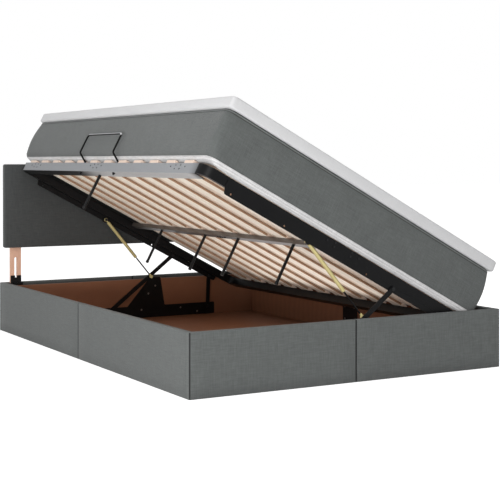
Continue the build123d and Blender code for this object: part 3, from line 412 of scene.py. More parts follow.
@dataclass(frozen=True)
class Finish:
    """A material of the bed. Each kind of finish adds its own pattern."""

    name: str
    color: Color
    roughness: float = 0.5
    tilted: bool = False

    def start(self) -> Tuple[bpy.types.Material, Tree, Node, Socket]:
        """Make the material with its shader and coordinates.

        Returns:
            The material, its tree, its shader and its object coordinates, in the lid's frame if tilted.
        """
        material = bpy.data.materials.new(self.name)
        material.use_nodes = True
        tree = material.node_tree
        shader = tree.nodes["Principled BSDF"]
        shader.inputs["Roughness"].default_value = self.roughness
        place = tree.nodes.new("ShaderNodeTexCoord")
        vector = place.outputs["Object"]
        if self.tilted:
            vector = mapped(tree, vector, "Rotation", (0.0, -LID_TILT, 0.0))
        return material, tree, shader, vector

    @staticmethod
    def bump(tree: Tree, shader: Node, height: Socket, strength: float, distance: float) -> None:
        """Feed a height to the shader's normal.

        Args:
            tree: The material's tree.
            shader: The shader.
            height: The height.
            strength: The bump's strength.
            distance: The bump's depth in metres.
        """
        node = tree.nodes.new("ShaderNodeBump")
        node.inputs["Strength"].default_value = strength
        node.inputs["Distance"].default_value = distance
        tree.links.new(height, node.inputs["Height"])
        tree.links.new(node.outputs["Normal"], shader.inputs["Normal"])

    @staticmethod
    def group(tree: Tree, kind: Tree, vector: Socket, **values: float) -> Node:
        """Place a shared group.

        Args:
            tree: The material's tree.
            kind: The group.
            vector: The coordinates.
            **values: The group's own values, by input name.

        Returns:
            The group node.
        """
        node = tree.nodes.new("ShaderNodeGroup")
        node.node_tree = kind
        tree.links.new(vector, node.inputs["Vector"])
        for label, value in values.items():
            node.inputs[label].default_value = value
        return node


@dataclass(frozen=True)
class Cloth(Finish):
    """Woven cover cloth, on the box with painted shade in the seams in the middle of its sides and at its
    corners.
    """

    threads: float = 900.0
    slub: float = 2.6
    mottle: float = 0.25
    depth: float = 0.0006
    swing: float = 0.18
    # Colour of the painted shade in the seam creases of the box cover.
    seam_shade: Optional[Color] = None

    def seam_shade_patches(self) -> List[Patch]:
        """Return the painted shade in each seam of the box."""
        start, full = MIDDLE_SEAM
        seam_shade_patches = [Patch(self.seam_shade, ((axis, -start, -full), (axis, start, full))) for axis in ("X", "Y")]
        for side in (-1, 1):
            across = [side * place for place in CORNER_ACROSS]
            for end in (-1, 1):
                along = [end * place for place in CORNER_ALONG]
                seam_shade_patches.append(Patch(self.seam_shade, (("X", *across), ("Y", *along))))
        return seam_shade_patches

    def make(self, groups: Groups) -> bpy.types.Material:
        """Make the material.

        Args:
            groups: The shared groups.

        Returns:
            The material.
        """
        material, tree, shader, vector = self.start()
        weave = self.group(tree, groups.weave, vector, Threads=self.threads, Slub=self.slub,
                           Mottle=self.mottle)
        dark = tuple((1 - self.swing) * part for part in self.color)
        light = tuple((1 + self.swing) * part for part in self.color)
        shade = math_node(tree, "SUBTRACT", weave.outputs["Tone"], 0.5)
        color = mix_node(tree, shade, dark, light)
        # Painted shade darkens the seam creases in the middle of the sides and at the corners.
        if self.seam_shade is not None:
            for shade_patch in self.seam_shade_patches():
                color = shade_patch.over(tree, vector, color)
        tree.links.new(color, shader.inputs["Base Color"])
        shader.inputs["Sheen Weight"].default_value = CLOTH_SHEEN
        shader.inputs["Sheen Roughness"].default_value = 0.5
        shader.inputs["Specular IOR Level"].default_value = CLOTH_SPECULAR
        self.bump(tree, shader, weave.outputs["Height"], strength=0.5, distance=self.depth)
        return material


@dataclass(frozen=True)
class Ticking(Finish):
    """Mattress cloth in the lid's frame: grey border above, ribbed white knit below, bare underside."""

    under: Color = (0.7, 0.7, 0.7)
    base: Color = (0.7, 0.7, 0.7)
    base_height: float = 0.4626
    seam_height: float = 0.4805
    base_fade: float = 0.0002
    foot_limit: Tuple[float, float] = (-1.006, -1.002)
    rib_pitch: float = 0.0095
    rib_shade: float = 0.09
    rib_relief: float = 0.8

    def make(self, groups: Groups) -> bpy.types.Material:
        """Make the material.

        Args:
            groups: The shared groups.

        Returns:
            The material.
        """
        material, tree, shader, vector = self.start()
        split = tree.nodes.new("ShaderNodeSeparateXYZ")
        tree.links.new(vector, split.inputs["Vector"])
        height = split.outputs["Z"]
        weave = self.group(tree, groups.weave, vector, Threads=900.0, Slub=0.9, Mottle=0.25)
        low = math_node(tree, "LESS_THAN", height, self.seam_height)
        phase = math_node(tree, "MULTIPLY", height, 2 * math.pi / self.rib_pitch)
        rib = math_node(tree, "SINE", phase)
        rib_tone = math_node(tree, "MULTIPLY", math_node(tree, "ADD", rib, 1.0), self.rib_shade)
        rib_low = math_node(tree, "MULTIPLY", rib_tone, low)
        base = mix_node(tree, low, self.color, self.under)
        underside = (("Z", self.base_height, self.base_height - self.base_fade), ("Y", *self.foot_limit))
        base = Patch(self.base, underside).over(tree, vector, base)
        tone = math_node(tree, "SUBTRACT", weave.outputs["Tone"], rib_low)
        tree.links.new(mix_node(tree, 1.0, base, tone, "MULTIPLY"), shader.inputs["Base Color"])
        shader.inputs["Sheen Weight"].default_value = CLOTH_SHEEN
        shader.inputs["Specular IOR Level"].default_value = CLOTH_SPECULAR
        rib_height = math_node(tree, "MULTIPLY", math_node(tree, "MULTIPLY", rib, low), self.rib_relief)
        relief = math_node(tree, "ADD", weave.outputs["Height"], rib_height)
        self.bump(tree, shader, relief, strength=0.6, distance=0.0008)
        return material


@dataclass(frozen=True)
class Timber(Finish):
    """Wood with edges of another tone where it is plywood."""

    dark: Color = (0.2, 0.1, 0.05)
    along: Grain = Grain.ALONG_X
    edge: Optional[Color] = None
    face_normal: Point = (0.0, 0.0, 1.0)
    edge_facing: float = 0.7
    contrast: float = 0.5

    def make(self, groups: Groups) -> bpy.types.Material:
        """Make the material.

        Args:
            groups: The shared groups.

        Returns:
            The material.
        """
        material, tree, shader, vector = self.start()
        if self.along is Grain.ALONG_Z:
            vector = mapped(tree, vector, "Rotation", (0.0, self.along.value, 0.0))
        grain = self.group(tree, groups.grain, vector, Rings=7.0)
        mask = math_node(tree, "MULTIPLY", grain.outputs["Mask"], self.contrast)
        color = mix_node(tree, mask, self.color, self.dark)
        # The edge tone is the wood's own, and on the slats it is partly painted shade.
        if self.edge is not None:
            facing = math_node(tree, "ABSOLUTE", facing_node(tree, self.face_normal))
            is_edge = math_node(tree, "LESS_THAN", facing, self.edge_facing)
            color = mix_node(tree, is_edge, color, self.edge)
        tree.links.new(color, shader.inputs["Base Color"])
        self.bump(tree, shader, grain.outputs["Height"], strength=0.3, distance=0.0004)
        return material


@dataclass(frozen=True)
class Coating(Finish):
    """Paint, plating or moulded plastic."""

    metallic: float = 0.0
    coat: float = 0.0
    scuff: float = 0.25
    ior: float = 1.5
    patina: Color = (0.3, 0.3, 0.3)
    scuff_roughness: float = 0.6
    patches: Tuple[Patch, ...] = ()

    def make(self, groups: Groups) -> bpy.types.Material:
        """Make the material.

        Args:
            groups: The shared groups.

        Returns:
            The material.
        """
        material, tree, shader, vector = self.start()
        wear = self.group(tree, groups.wear, vector, Size=160.0, Amount=self.scuff)
        color = mix_node(tree, wear.outputs["Mask"], self.color, self.patina)
        # Patches give a second colour of the part, or painted reflections and highlights.
        for patch in self.patches:
            color = patch.over(tree, vector, color)
        tree.links.new(color, shader.inputs["Base Color"])
        scuffed = math_node(tree, "MULTIPLY", wear.outputs["Mask"], self.scuff_roughness)
        tree.links.new(math_node(tree, "ADD", scuffed, self.roughness), shader.inputs["Roughness"])
        shader.inputs["Metallic"].default_value = self.metallic
        shader.inputs["Coat Weight"].default_value = self.coat
        shader.inputs["Coat Roughness"].default_value = 0.12
        shader.inputs["IOR"].default_value = self.ior
        self.bump(tree, shader, wear.outputs["Height"], strength=0.12, distance=0.0003)
        return material


@dataclass
class Palette:
    """All finishes of the bed, made once."""

    groups: Groups = field(default_factory=Groups)
    made: Dict[str, bpy.types.Material] = field(default_factory=dict)

    def get(self, finish: Finish) -> bpy.types.Material:
        """Return a finish's material.

        Args:
            finish: The finish.

        Returns:
            Its material.
        """
        if finish.name not in self.made:
            self.made[finish.name] = finish.make(self.groups)
        return self.made[finish.name]


# Directions of the raised lid: up, out past its left rail, and down.
LID_NORMAL = (math.sin(LID_TILT), 0.0, math.cos(LID_TILT))
LID_OUTWARD = (-math.cos(LID_TILT), 0.0, math.sin(LID_TILT))
LID_DOWN = (-math.sin(LID_TILT), 0.0, -math.cos(LID_TILT))
# The seam colour of the box cloth is painted shade in its seam creases.
BOX_CLOTH = Cloth("box_cloth", srgb(94, 97, 96), 0.9, seam_shade=srgb(40, 41, 41))
HEAD_CLOTH = Cloth("headboard_cloth", srgb(65, 67, 67), 0.9)
HEM_CLOTH = Cloth("hem_cloth", srgb(70, 72, 72), 0.9)
SEAM_CLOTH = Cloth("seam_cloth", srgb(42, 44, 44), 0.9, True)
MATTRESS_CLOTH = Ticking("mattress_ticking", srgb(93, 96, 95), 0.9, True,
                         under=srgb(212, 211, 211), base=srgb(226, 204, 182))
PIPING_CLOTH = Cloth("piping_cloth", srgb(112, 115, 114), 0.9, True)
TOPPER_CLOTH = Cloth("topper_knit", srgb(206, 206, 207), 0.9, True, threads=500.0, slub=0.5, mottle=0.06)
BROWN_BOARD = Timber("brown_board", srgb(146, 98, 70), 0.55, dark=srgb(112, 70, 48), contrast=0.6)
RAW_TIMBER = Timber("raw_timber", srgb(196, 168, 128), 0.7, dark=srgb(150, 116, 78))
LEG_TIMBER = Timber("leg_timber", srgb(228, 186, 162), 0.6, dark=srgb(196, 144, 118), along=Grain.ALONG_Z)
# The slats' edge colour is the plywood edges' tone, partly painted shade for the dark lines between the
# slats.
SLAT_BIRCH = Timber("slat_birch", srgb(250, 242, 228), 0.5, True, dark=srgb(232, 214, 190),
                    edge=srgb(158, 124, 98), face_normal=LID_NORMAL)
BLACK_PAINT = Coating("black_paint", srgb(14, 14, 15), 0.35, ior=1.3, patina=srgb(32, 32, 34))
# Black gloss paint with painted reflections: light grey on the rail's outer face, paler grey under its
# flange.
RAIL_PAINT_AND_REFLECTIONS = Coating("rail_paint_and_reflections", srgb(14, 14, 15), 0.35, True, ior=1.3, patina=srgb(32, 32, 34), patches=(
    Patch(srgb(142, 144, 147), (("Y", -1.03, -0.90), ("X", -0.9535, -0.9545)), LID_OUTWARD),
    Patch(srgb(176, 176, 176), (("Y", 0.22, -0.10), ("Y", -0.98, -0.90)), LID_DOWN)))
# Black paint with a painted highlight along the upper side of the handle's top bar.
ROD_PAINT_AND_HIGHLIGHT = Coating("rod_paint_and_highlight", srgb(6, 6, 7), 0.3, True, ior=1.25, patina=srgb(16, 16, 17), patches=(
    Patch(srgb(206, 206, 208), (("Z", 0.5600, 0.5660),), normal=(0.0, 0.0, 1.0), least=0.45),))
# Brownish grey on the black painted beam: painted reflection of the slats.
BEAM_PAINT_AND_REFLECTION = Coating("beam_paint_and_reflection", srgb(72, 66, 62), 0.3, coat=0.3, patina=srgb(96, 88, 82))
BLACK_PLASTIC = Coating("black_plastic", srgb(14, 14, 15), 0.5, ior=1.35, patina=srgb(34, 34, 34))
PALE_PLASTIC = Coating("pale_plastic", srgb(226, 204, 188), 0.4, patina=srgb(186, 160, 142))
ZINC = Coating("zinc_plating", srgb(150, 150, 152), 0.35, metallic=1.0, patina=srgb(110, 110, 112))
DARK_ZINC = Coating("dark_bolts", srgb(24, 24, 26), 0.4, metallic=0.3, patina=srgb(50, 50, 52))
STRUT_ROD = Coating("strut_rod", srgb(9, 9, 10), 0.35, ior=1.3, patina=srgb(18, 18, 19), patches=(
    Patch(srgb(214, 200, 142), (("X", 0.0535, 0.0545),)),))
STRUT_GOLD = Coating("strut_gold", srgb(214, 200, 142), 0.3, metallic=0.35, patina=srgb(180, 166, 110))


def show_mesh(name: str, mesh: bpy.types.Mesh, material: bpy.types.Material,
              smooth: bool = True) -> bpy.types.Object:
    """Put a mesh in the scene with its material.

    Args:
        name: The object's name.
        mesh: The mesh.
        material: Its material.
        smooth: Whether its faces are shaded smooth.

    Returns:
        The object.
    """
    mesh.materials.clear()
    mesh.materials.append(material)
    for face in mesh.polygons:
        face.use_smooth = smooth
    piece = bpy.data.objects.new(name, mesh)
    bpy.context.scene.collection.objects.link(piece)
    LOG.info("piece %s: %d faces", name, len(mesh.polygons))
    return piece


def new_object(name: str, bm: bmesh.types.BMesh, material: bpy.types.Material,
               smooth: bool = True) -> bpy.types.Object:
    """Turn a bmesh into an object of the scene.

    Args:
        name: The object's name.
        bm: The mesh, which is freed.
        material: Its material.
        smooth: Whether its faces are shaded smooth.

    Returns:
        The object.
    """
    bmesh.ops.recalc_face_normals(bm, faces=bm.faces)
    mesh = bpy.data.meshes.new(name)
    bm.to_mesh(mesh)
    bm.free()
    return show_mesh(name, mesh, material, smooth)


def box_mesh(low: Sequence[float], high: Sequence[float]) -> bmesh.types.BMesh:
    """Make a box between two corners.

    Args:
        low: Lowest corner.
        high: Highest corner.

    Returns:
        The mesh.
    """
    bm = bmesh.new()
    bmesh.ops.create_cube(bm, size=1.0)
    size = [b - a for a, b in zip(low, high)]
    middle = [(a + b) / 2 for a, b in zip(low, high)]
    bmesh.ops.scale(bm, vec=size, verts=bm.verts)
    bmesh.ops.translate(bm, vec=middle, verts=bm.verts)
    return bm


def cut_planes(bm: bmesh.types.BMesh, axis: Axis, places: Sequence[float]) -> None:
    """Cut a mesh at places along an axis.

    Args:
        bm: The mesh.
        axis: The axis.
        places: Where it is cut.
    """
    normal = [0.0, 0.0, 0.0]
    normal[axis] = 1.0
    for place in places:
        spot = [0.0, 0.0, 0.0]
        spot[axis] = place
        geom = list(bm.verts) + list(bm.edges) + list(bm.faces)
        bmesh.ops.bisect_plane(bm, geom=geom, plane_co=spot, plane_no=normal, dist=1e-6)


def evenly(low: float, high: float, step: float) -> List[float]:
    """Spread places evenly between two ends, which are left out.

    Args:
        low: The lower end.
        high: The higher end.
        step: About how far apart the places are.

    Returns:
        The places, in order.
    """
    count = max(2, round((high - low) / step))
    return [low + (high - low) * index / count for index in range(1, count)]


def quarter_round(edge: float, share: float) -> float:
    """Find how far a rounded edge stands in.

    Args:
        edge: The edge's radius.
        share: How far along the edge, from 0 to 1.

    Returns:
        The inset, from 0 to the radius.
    """
    return edge * (1 - math.sqrt(max(0.0, 1 - share * share)))


def arc_steps(edge: float, cuts: int) -> List[float]:
    """Find the cuts through a rounded edge, so that each takes the same share of its turn.

    Args:
        edge: The edge's radius.
        cuts: How many cuts there are.

    Returns:
        How far each cut is from the flat side, in order.
    """
    return [edge * (1 - math.cos(math.pi / 2 * k / cuts)) for k in range(1, cuts + 1)]


@dataclass
class SoftPad:
    """A stuffed pad in the lid's frame: rounded in plan, with a side profile and a crown.

    With a foot edge, the lower edge of its foot side is fuller and hangs down a little.
    """

    name: str
    low: Point
    high: Point
    corner: float
    lower_edge: float
    upper_edge: float
    draw_in: float
    tuck: float = 0.0
    belly_rise: float = 0.026
    crown: float = 0.0
    foot_edge: Optional[float] = None
    foot_sag: float = 0.010
    foot_seam: float = 0.018
    foot_reach: float = 0.008
    pitch: float = 0.045
    level_step: float = 0.022
    crown_power: int = 6

    def profile(self, height: float, foot: bool = False) -> float:
        """Find how far the side stands in from the widest outline at a height.

        Args:
            height: Height in the lid's frame.
            foot: Whether it is the foot side, which may have a fuller lower edge.

        Returns:
            The inset in metres.
        """
        bottom, top = self.low[2], self.high[2]
        rise = height - bottom
        if foot and self.foot_edge is not None and rise < self.belly_rise:
            drop = max(0.0, 1 - rise / self.foot_edge)
            return quarter_round(self.foot_edge, drop)
        if rise < self.lower_edge:
            return self.tuck + quarter_round(self.lower_edge, 1 - rise / self.lower_edge)
        if rise < self.belly_rise:
            share = (rise - self.lower_edge) / (self.belly_rise - self.lower_edge)
            return self.tuck * (1 - math.sin(math.pi / 2 * share))
        share = (rise - self.belly_rise) / (top - bottom - self.belly_rise)
        inset = self.draw_in * (1 - math.cos(math.pi / 2 * share))
        if height > top - self.upper_edge:
            inset += quarter_round(self.upper_edge, (height - top + self.upper_edge) / self.upper_edge)
        return inset

    def levels(self) -> List[float]:
        """Return the heights at which the sides are cut."""
        lower = [self.low[2] + rise for rise in arc_steps(self.lower_edge, LOWER_CUTS)]
        upper = [self.high[2] - drop for drop in arc_steps(self.upper_edge, UPPER_CUTS)]
        return lower + evenly(lower[-1], upper[-1], self.level_step) + upper

    def shape(self) -> bmesh.types.BMesh:
        """Build the pad's mesh in the lid's frame.

        Returns:
            The mesh.
        """
        bm = box_mesh(self.low, self.high)
        near = [self.corner * share for share in CORNER_CUTS]
        for axis in (Axis.X, Axis.Y):
            a, b = self.low[axis], self.high[axis]
            places = [a + step for step in near] + [b - step for step in near]
            places += evenly(a + near[-1], b - near[-1], self.pitch)
            cut_planes(bm, axis, places)
        cut_planes(bm, Axis.Z, self.levels())
        centre = [(a + b) / 2 for a, b in zip(self.low, self.high)]
        half = [(b - a) / 2 for a, b in zip(self.low, self.high)]
        for vert in bm.verts:
            self.move(vert, centre, half)
        return bm

    def move(self, vert: bmesh.types.BMVert, centre: Sequence[float], half: Sequence[float]) -> None:
        """Move one vertex to the rounded and crowned shape.

        Args:
            vert: The vertex.
            centre: The pad's middle.
            half: Half of the pad's sizes.
        """
        inset = self.profile(vert.co.z)
        side = [vert.co[k] - centre[k] for k in (0, 1)]
        reach = [half[0] - inset, half[1] - self.profile(vert.co.z, side[1] < 0)]
        spot = [side[k] * reach[k] / half[k] for k in (0, 1)]
        radius = self.corner + inset
        over = [abs(spot[k]) - (reach[k] - radius) for k in (0, 1)]
        if over[0] > 0 and over[1] > 0:
            far = max(over)
            length = math.hypot(*over)
            over = [far * part / length for part in over]
        for k in (0, 1):
            if over[k] > 0:
                spot[k] = math.copysign(reach[k] - radius + over[k], spot[k])
        rise = vert.co.z - self.low[2]
        if self.foot_edge is not None and side[1] < 0 and rise < self.foot_seam:
            past = (abs(spot[1]) - half[1] + self.foot_edge) / self.foot_reach + 1
            vert.co.z -= self.foot_sag * min(1.0, max(0.0, past)) * (1 - rise / self.foot_seam)
        vert.co.x = centre[0] + spot[0]
        vert.co.y = centre[1] + spot[1]
        if self.crown and vert.co.z > self.high[2] - VERY_CLOSE:
            swell = [1 - (abs(side[k]) / half[k]) ** self.crown_power for k in (0, 1)]
            vert.co.z += self.crown * min(swell) - self.crown


def tilt_up(piece: bpy.types.Object) -> None:
    """Turn a piece's mesh from the lid's frame to the raised lid.

    Args:
        piece: The piece.
    """
    piece.data.transform(Matrix.Rotation(LID_TILT, 4, "Y"))


def ring_tube(name: str, outline: Sequence[Point], radius: float,
              material: bpy.types.Material) -> bpy.types.Object:
    """Make a closed round cord along points.

    Args:
        name: The piece's name.
        outline: The points, in order.
        radius: The cord's radius.
        material: Its material.

    Returns:
        The mesh object.
    """
    curve = bpy.data.curves.new(name, "CURVE")
    curve.dimensions = "3D"
    curve.bevel_depth = radius
    curve.bevel_resolution = 3
    spline = curve.splines.new("POLY")
    spline.points.add(len(outline) - 1)
    for spot, place in zip(spline.points, outline):
        spot.co = (*place, 1.0)
    spline.use_cyclic_u = True
    holder = bpy.data.objects.new(name, curve)
    bpy.context.scene.collection.objects.link(holder)
    mesh = bpy.data.meshes.new_from_object(holder.evaluated_get(bpy.context.evaluated_depsgraph_get()))
    bpy.data.objects.remove(holder)
    bpy.data.curves.remove(curve)
    return show_mesh(name, mesh, material)


def rounded_outline(low: Sequence[float], high: Sequence[float], corner: float, height: float,
                    steps: int = 10) -> List[Point]:
    """Find the points of a rounded rectangle at a height.

    Args:
        low: Lowest corner in plan.
        high: Highest corner in plan.
        corner: Corner radius.
        height: Height of every point.
        steps: Steps of each corner.

    Returns:
        The points, in order.
    """
    points = []
    west, south = low[0] + corner, low[1] + corner
    east, north = high[0] - corner, high[1] - corner
    for turn, (x, y) in enumerate(((east, north), (west, north), (west, south), (east, south))):
        for step in range(steps + 1):
            angle = math.pi / 2 * (turn + step / steps)
            points.append((x + corner * math.cos(angle), y + corner * math.sin(angle), height))
    return points


@dataclass(frozen=True)
class Cord:
    """A cord round the mattress's sides: its height, how far it is sunk in, and its radius."""

    name: str
    height: float
    sunk: float
    radius: float
    finish: Finish


@dataclass
class Bedding:
    """Mattress with piping and seams, and the topper on it, in the lid's frame."""

    palette: Palette
    centre: Tuple[float, float] = (-0.264, -0.035)
    width: float = 1.418
    length: float = 1.988
    bottom: float = 0.4623
    top: float = 0.6743
    corner: float = 0.024
    lower_edge: float = 0.042
    upper_edge: float = 0.010
    foot_edge: float = 0.014
    tuck: float = 0.005
    belly_rise: float = 0.110
    draw_in: float = 0.008
    border: float = 0.4805
    topper_bottom: float = 0.6746
    topper_top: float = 0.7221
    topper_corner: float = 0.014
    topper_edge: float = 0.008
    topper_reach: float = 0.004
    topper_crown: float = 0.004

    def corners(self, low: float, high: float, reach: float = 0.0) -> Tuple[Point, Point]:
        """Find the lowest and highest corner of a pad between two heights.

        Args:
            low: Lower height.
            high: Upper height.
            reach: How much further than the mattress each end goes.

        Returns:
            Both corners.
        """
        x, y = self.centre
        across, along = self.width / 2, self.length / 2 + reach
        return ((x - across, y - along, low), (x + across, y + along, high))

    def body(self) -> SoftPad:
        """Return the shape of the mattress."""
        low, high = self.corners(self.bottom, self.top)
        return SoftPad("mattress_body", low, high, self.corner, self.lower_edge, self.upper_edge,
                       self.draw_in, tuck=self.tuck, belly_rise=self.belly_rise, foot_edge=self.foot_edge)

    def mattress(self) -> None:
        """Build the mattress body."""
        pad = self.body()
        piece = new_object(pad.name, pad.shape(), self.palette.get(MATTRESS_CLOTH))
        tilt_up(piece)
        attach(piece, "lid")
        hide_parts("mattress")

    def piping(self) -> None:
        """Build the piping and seams round the top edge and the seam above the white border."""
        body = self.body()
        cords = (
            Cord("mattress_piping", self.top - 0.0075, sunk=0.0006, radius=0.0022, finish=PIPING_CLOTH),
            Cord("mattress_top_seam", self.top - 0.0015, sunk=0.0010, radius=0.0022, finish=SEAM_CLOTH),
            Cord("mattress_lower_seam", self.top - 0.0125, sunk=0.0004, radius=0.0013, finish=SEAM_CLOTH),
            Cord("mattress_border_seam", self.border, sunk=0.0004, radius=0.0012, finish=HEM_CLOTH))
        for cord in cords:
            inset = body.profile(cord.height) + cord.sunk
            low, high = self.corners(cord.height, cord.height)
            low = (low[0] + inset, low[1] + body.profile(cord.height, True) + cord.sunk)
            high = (high[0] - inset, high[1] - inset)
            points = rounded_outline(low, high, self.corner + inset, cord.height)
            piece = ring_tube(cord.name, points, cord.radius, self.palette.get(cord.finish))
            tilt_up(piece)
            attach(piece, "lid")

    def topper(self) -> None:
        """Build the topper."""
        low, high = self.corners(self.topper_bottom, self.topper_top, self.topper_reach)
        pad = SoftPad("topper_body", low, high, self.topper_corner, self.topper_edge, self.topper_edge,
                      draw_in=0.0, crown=self.topper_crown)
        piece = new_object(pad.name, pad.shape(), self.palette.get(TOPPER_CLOTH))
        tilt_up(piece)
        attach(piece, "lid")
        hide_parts("topper")

    def build(self) -> None:
        """Build all bedding."""
        self.mattress()
        self.piping()
        self.topper()


@dataclass
class PanelCovers:
    """Cloth covers folded over the eight panel halves of the box."""

    palette: Palette
    round_over: float = 0.003
    cloth: float = 0.0013
    flap: float = 0.020
    rise_step: float = 0.05
    long_step: float = 0.08

    def cover(self, node: str, axis: Axis, side: int) -> None:
        """Build one cover.

        Args:
            node: The CAD node that it stands for.
            axis: X on a long side, Y on a short side.
            side: -1 or 1, where the panel stands on that axis.
        """
        low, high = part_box(node)
        low, high = list(low), list(high)
        bm = box_mesh(low, high)
        bottom, rim = low[Axis.Z], high[Axis.Z] - self.flap
        edges = [e for e in bm.edges if max(v.co.z for v in e.verts) > bottom + CLOSE]
        bmesh.ops.bevel(bm, geom=edges, offset=self.round_over, segments=3, profile=0.5, affect="EDGES",
                        material=-1)
        cut_planes(bm, Axis.Z, [rim] + evenly(bottom, rim, self.rise_step))
        along = Axis.Y if axis is Axis.X else Axis.X
        cut_planes(bm, along, evenly(low[along], high[along], self.long_step))
        inner = low[axis] if side > 0 else high[axis]
        gone = []
        for face in bm.faces:
            spot = face.calc_center_median()
            under = abs(spot.z - bottom) < CLOSE and abs(face.normal.z) > FACES_ALONG
            inside = abs(spot[axis] - inner) < CLOSE and abs(face.normal[axis]) > FACES_ALONG
            if under or (inside and spot.z < rim):
                gone.append(face)
        bmesh.ops.delete(bm, geom=gone, context="FACES")
        piece = new_object(f"cloth_{node}", bm, self.palette.get(BOX_CLOTH))
        shell = piece.modifiers.new("cloth", "SOLIDIFY")
        shell.thickness = self.cloth
        shell.offset = -1.0
        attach(piece, "box")
        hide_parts(node)

    def build(self) -> None:
        """Build all covers."""
        sides = {"left": -1, "right": 1}
        ends = {"foot": -1, "head": 1}
        for side_name, side in sides.items():
            for end_name, end in ends.items():
                self.cover(f"side_cover_{side_name}_{end_name}", Axis.X, side)
                self.cover(f"end_cover_{end_name}_{side_name}", Axis.Y, end)


@dataclass
class Headboard:
    """Flat upholstered headboard with a slight crown on its front."""

    palette: Palette
    edge: float = 0.009
    crown: float = 0.0025
    crown_power: int = 4
    step: float = 0.05

    def build(self) -> None:
        """Build the headboard."""
        low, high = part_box("headboard_panel")
        low, high = tuple(low), tuple(high)
        bm = box_mesh((low[0], low[1] + self.crown, low[2]), high)
        bmesh.ops.bevel(bm, geom=bm.edges, offset=self.edge, segments=4, profile=0.5, affect="EDGES",
                        material=-1)
        for axis in (Axis.X, Axis.Z):
            cut_planes(bm, axis, evenly(low[axis] + self.edge, high[axis] - self.edge, self.step))
        front = low[1] + self.crown
        middle = (low[2] + high[2]) / 2
        for vert in bm.verts:
            if vert.co.y < front + VERY_CLOSE:
                across = 1 - (abs(vert.co.x) / high[0]) ** self.crown_power
                up = 1 - (abs(vert.co.z - middle) / (high[2] - middle)) ** self.crown_power
                vert.co.y -= self.crown * max(0.0, min(across, up))
        piece = new_object("headboard_cover", bm, self.palette.get(HEAD_CLOTH))
        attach(piece, "headboard")
        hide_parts("headboard_panel")


# Finish of the nodes whose names start so; all others are painted black.
NODE_FINISHES: Dict[str, Finish] = {
    "side_board": BROWN_BOARD, "end_board": BROWN_BOARD, "floor_board": BROWN_BOARD,
    "inner_head_board": BROWN_BOARD, "centre_joist": RAW_TIMBER, "floor_ledgers": RAW_TIMBER,
    "headboard_legs": LEG_TIMBER, "slats_": SLAT_BIRCH, "slat_holders": PALE_PLASTIC,
    "leg_tips": BLACK_PLASTIC, "clamp_bolts": BLACK_PLASTIC, "handle_nuts": DARK_ZINC,
    "plate_bolts": DARK_ZINC, "beam_bolts": DARK_ZINC, "lid_pins": DARK_ZINC, "base_pivot_pins": DARK_ZINC,
    "box_screws": ZINC, "strut_tube": STRUT_GOLD, "centre_beam": BEAM_PAINT_AND_REFLECTION, "rail_left": RAIL_PAINT_AND_REFLECTIONS,
    "handle": ROD_PAINT_AND_HIGHLIGHT, "strut_rod": STRUT_ROD,
}


@dataclass
class CarriedNodes:
    """CAD nodes that stay, with the finish of each."""

    palette: Palette

    def build(self, nodes: Dict[str, bpy.types.Object]) -> None:
        """Dress every CAD node.

        Args:
            nodes: The CAD objects by node name.
        """
        for name, node in nodes.items():
            finish = next((f for start, f in NODE_FINISHES.items() if name.startswith(start)), BLACK_PAINT)
            node.data.materials.clear()
            node.data.materials.append(self.palette.get(finish))
            LOG.info("node %s: %s", name, finish.name)


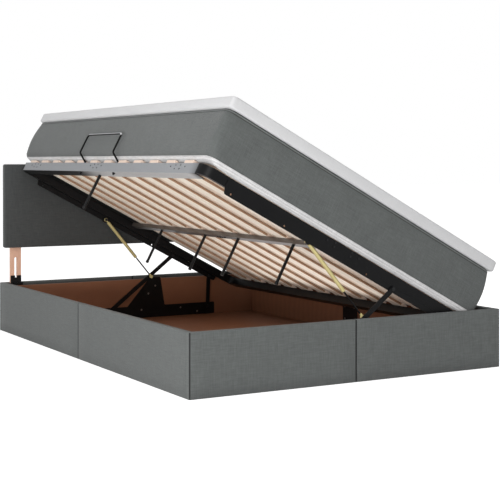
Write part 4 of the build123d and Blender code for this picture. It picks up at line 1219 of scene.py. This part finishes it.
@dataclass
class Studio:
    """Camera, lamps, world and the pale floor."""

    eye: Point = (-2.7023, -4.9522, 0.8509)
    heading: float = -29.88
    lens: float = 88.33
    shift: Tuple[float, float] = (-0.0039, -0.1775)
    ambient: float = 0.46
    floor_half: float = 30.0
    floor_drop: float = 0.0005
    floor_glow: float = 0.66

    def camera(self) -> None:
        """Place the camera at the photographed view."""
        data = bpy.data.cameras.new("view")
        data.lens = self.lens
        data.sensor_width = 36.0
        data.shift_x, data.shift_y = self.shift
        data.clip_end = 100.0
        camera = bpy.data.objects.new("view", data)
        camera.location = self.eye
        camera.rotation_euler = (math.radians(90), 0.0, math.radians(self.heading))
        bpy.context.scene.collection.objects.link(camera)
        bpy.context.scene.camera = camera

    @staticmethod
    def panel(name: str, place: Point, aim: Point, size: Tuple[float, float], power: float) -> None:
        """Place a soft lamp.

        Args:
            name: The lamp's name.
            place: Where it hangs.
            aim: The point it faces.
            size: Its width and height.
            power: Its power in watts.
        """
        data = bpy.data.lights.new(name, "AREA")
        data.shape = "RECTANGLE"
        data.size, data.size_y = size
        data.energy = power
        lamp = bpy.data.objects.new(name, data)
        lamp.location = place
        lamp.rotation_euler = (Vector(aim) - Vector(place)).to_track_quat("-Z", "Y").to_euler()
        lamp.visible_camera = False
        bpy.context.scene.collection.objects.link(lamp)

    def world(self) -> None:
        """Light the object evenly and show white behind it."""
        world = bpy.data.worlds.new("studio")
        bpy.context.scene.world = world
        world.use_nodes = True
        tree = world.node_tree
        tree.nodes.clear()
        out = tree.nodes.new("ShaderNodeOutputWorld")
        path = tree.nodes.new("ShaderNodeLightPath")
        mix = tree.nodes.new("ShaderNodeMixShader")
        tree.links.new(path.outputs["Is Camera Ray"], mix.inputs["Fac"])
        for entry, strength in ((1, self.ambient), (2, 1.0)):
            shade = tree.nodes.new("ShaderNodeBackground")
            shade.inputs["Color"].default_value = WHITE
            shade.inputs["Strength"].default_value = strength
            tree.links.new(shade.outputs["Background"], mix.inputs[entry])
        tree.links.new(mix.outputs["Shader"], out.inputs["Surface"])

    def floor(self) -> None:
        """Lay the pale floor."""
        bm = bmesh.new()
        bmesh.ops.create_grid(bm, x_segments=1, y_segments=1, size=self.floor_half)
        bmesh.ops.translate(bm, vec=(0.0, 0.0, -self.floor_drop), verts=bm.verts)
        material = bpy.data.materials.new("studio_floor")
        material.use_nodes = True
        shader = material.node_tree.nodes["Principled BSDF"]
        shader.inputs["Base Color"].default_value = (0.9, 0.9, 0.9, 1.0)
        shader.inputs["Roughness"].default_value = 0.9
        shader.inputs["Specular IOR Level"].default_value = 0.0
        shader.inputs["Emission Color"].default_value = WHITE
        self.camera_glow(material.node_tree, shader)
        floor = new_object("studio_floor", bm, material, smooth=False)

    def camera_glow(self, tree: Tree, shader: Node) -> None:
        """Lift the floor's tone to white for the camera alone.

        Args:
            tree: The floor material's tree.
            shader: Its shader.
        """
        path = tree.nodes.new("ShaderNodeLightPath")
        lift = math_node(tree, "MULTIPLY", path.outputs["Is Camera Ray"], self.floor_glow)
        tree.links.new(lift, shader.inputs["Emission Strength"])

    def build(self) -> None:
        """Build the studio."""
        self.camera()
        self.world()
        self.floor()
        self.panel("key_left", (-5.2, 2.6, 3.6), aim=(0.0, 0.0, 0.4), size=(5.0, 3.4), power=24.0)
        self.panel("front_fill", (-2.5, -6.5, 4.2), aim=(0.0, 0.0, 0.3), size=(4.0, 3.0), power=120.0)
        self.panel("top_soft", (0.5, 0.0, 5.0), aim=(0.0, 0.0, 0.0), size=(4.0, 4.0), power=50.0)
        self.panel("low_fill", (-4.0, -3.0, 0.40), aim=(0.2, 0.0, 0.7), size=(3.8, 0.7), power=128.0)
        self.panel("under_lid", (-0.08, -0.05, 0.19), aim=(-0.14, -0.05, 1.2), size=(1.1, 1.1), power=2.7)
        bpy.context.scene.view_settings.view_transform = "Standard"


def main() -> None:
    """Build the bed's looks in order."""
    logging.basicConfig(level=logging.INFO, format="%(message)s")
    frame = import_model()
    palette = Palette()
    Studio().build()
    CarriedNodes(palette).build(frame["nodes"])
    PanelCovers(palette).build()
    Headboard(palette).build()
    Bedding(palette).build()


if __name__ == "__main__":
    main()
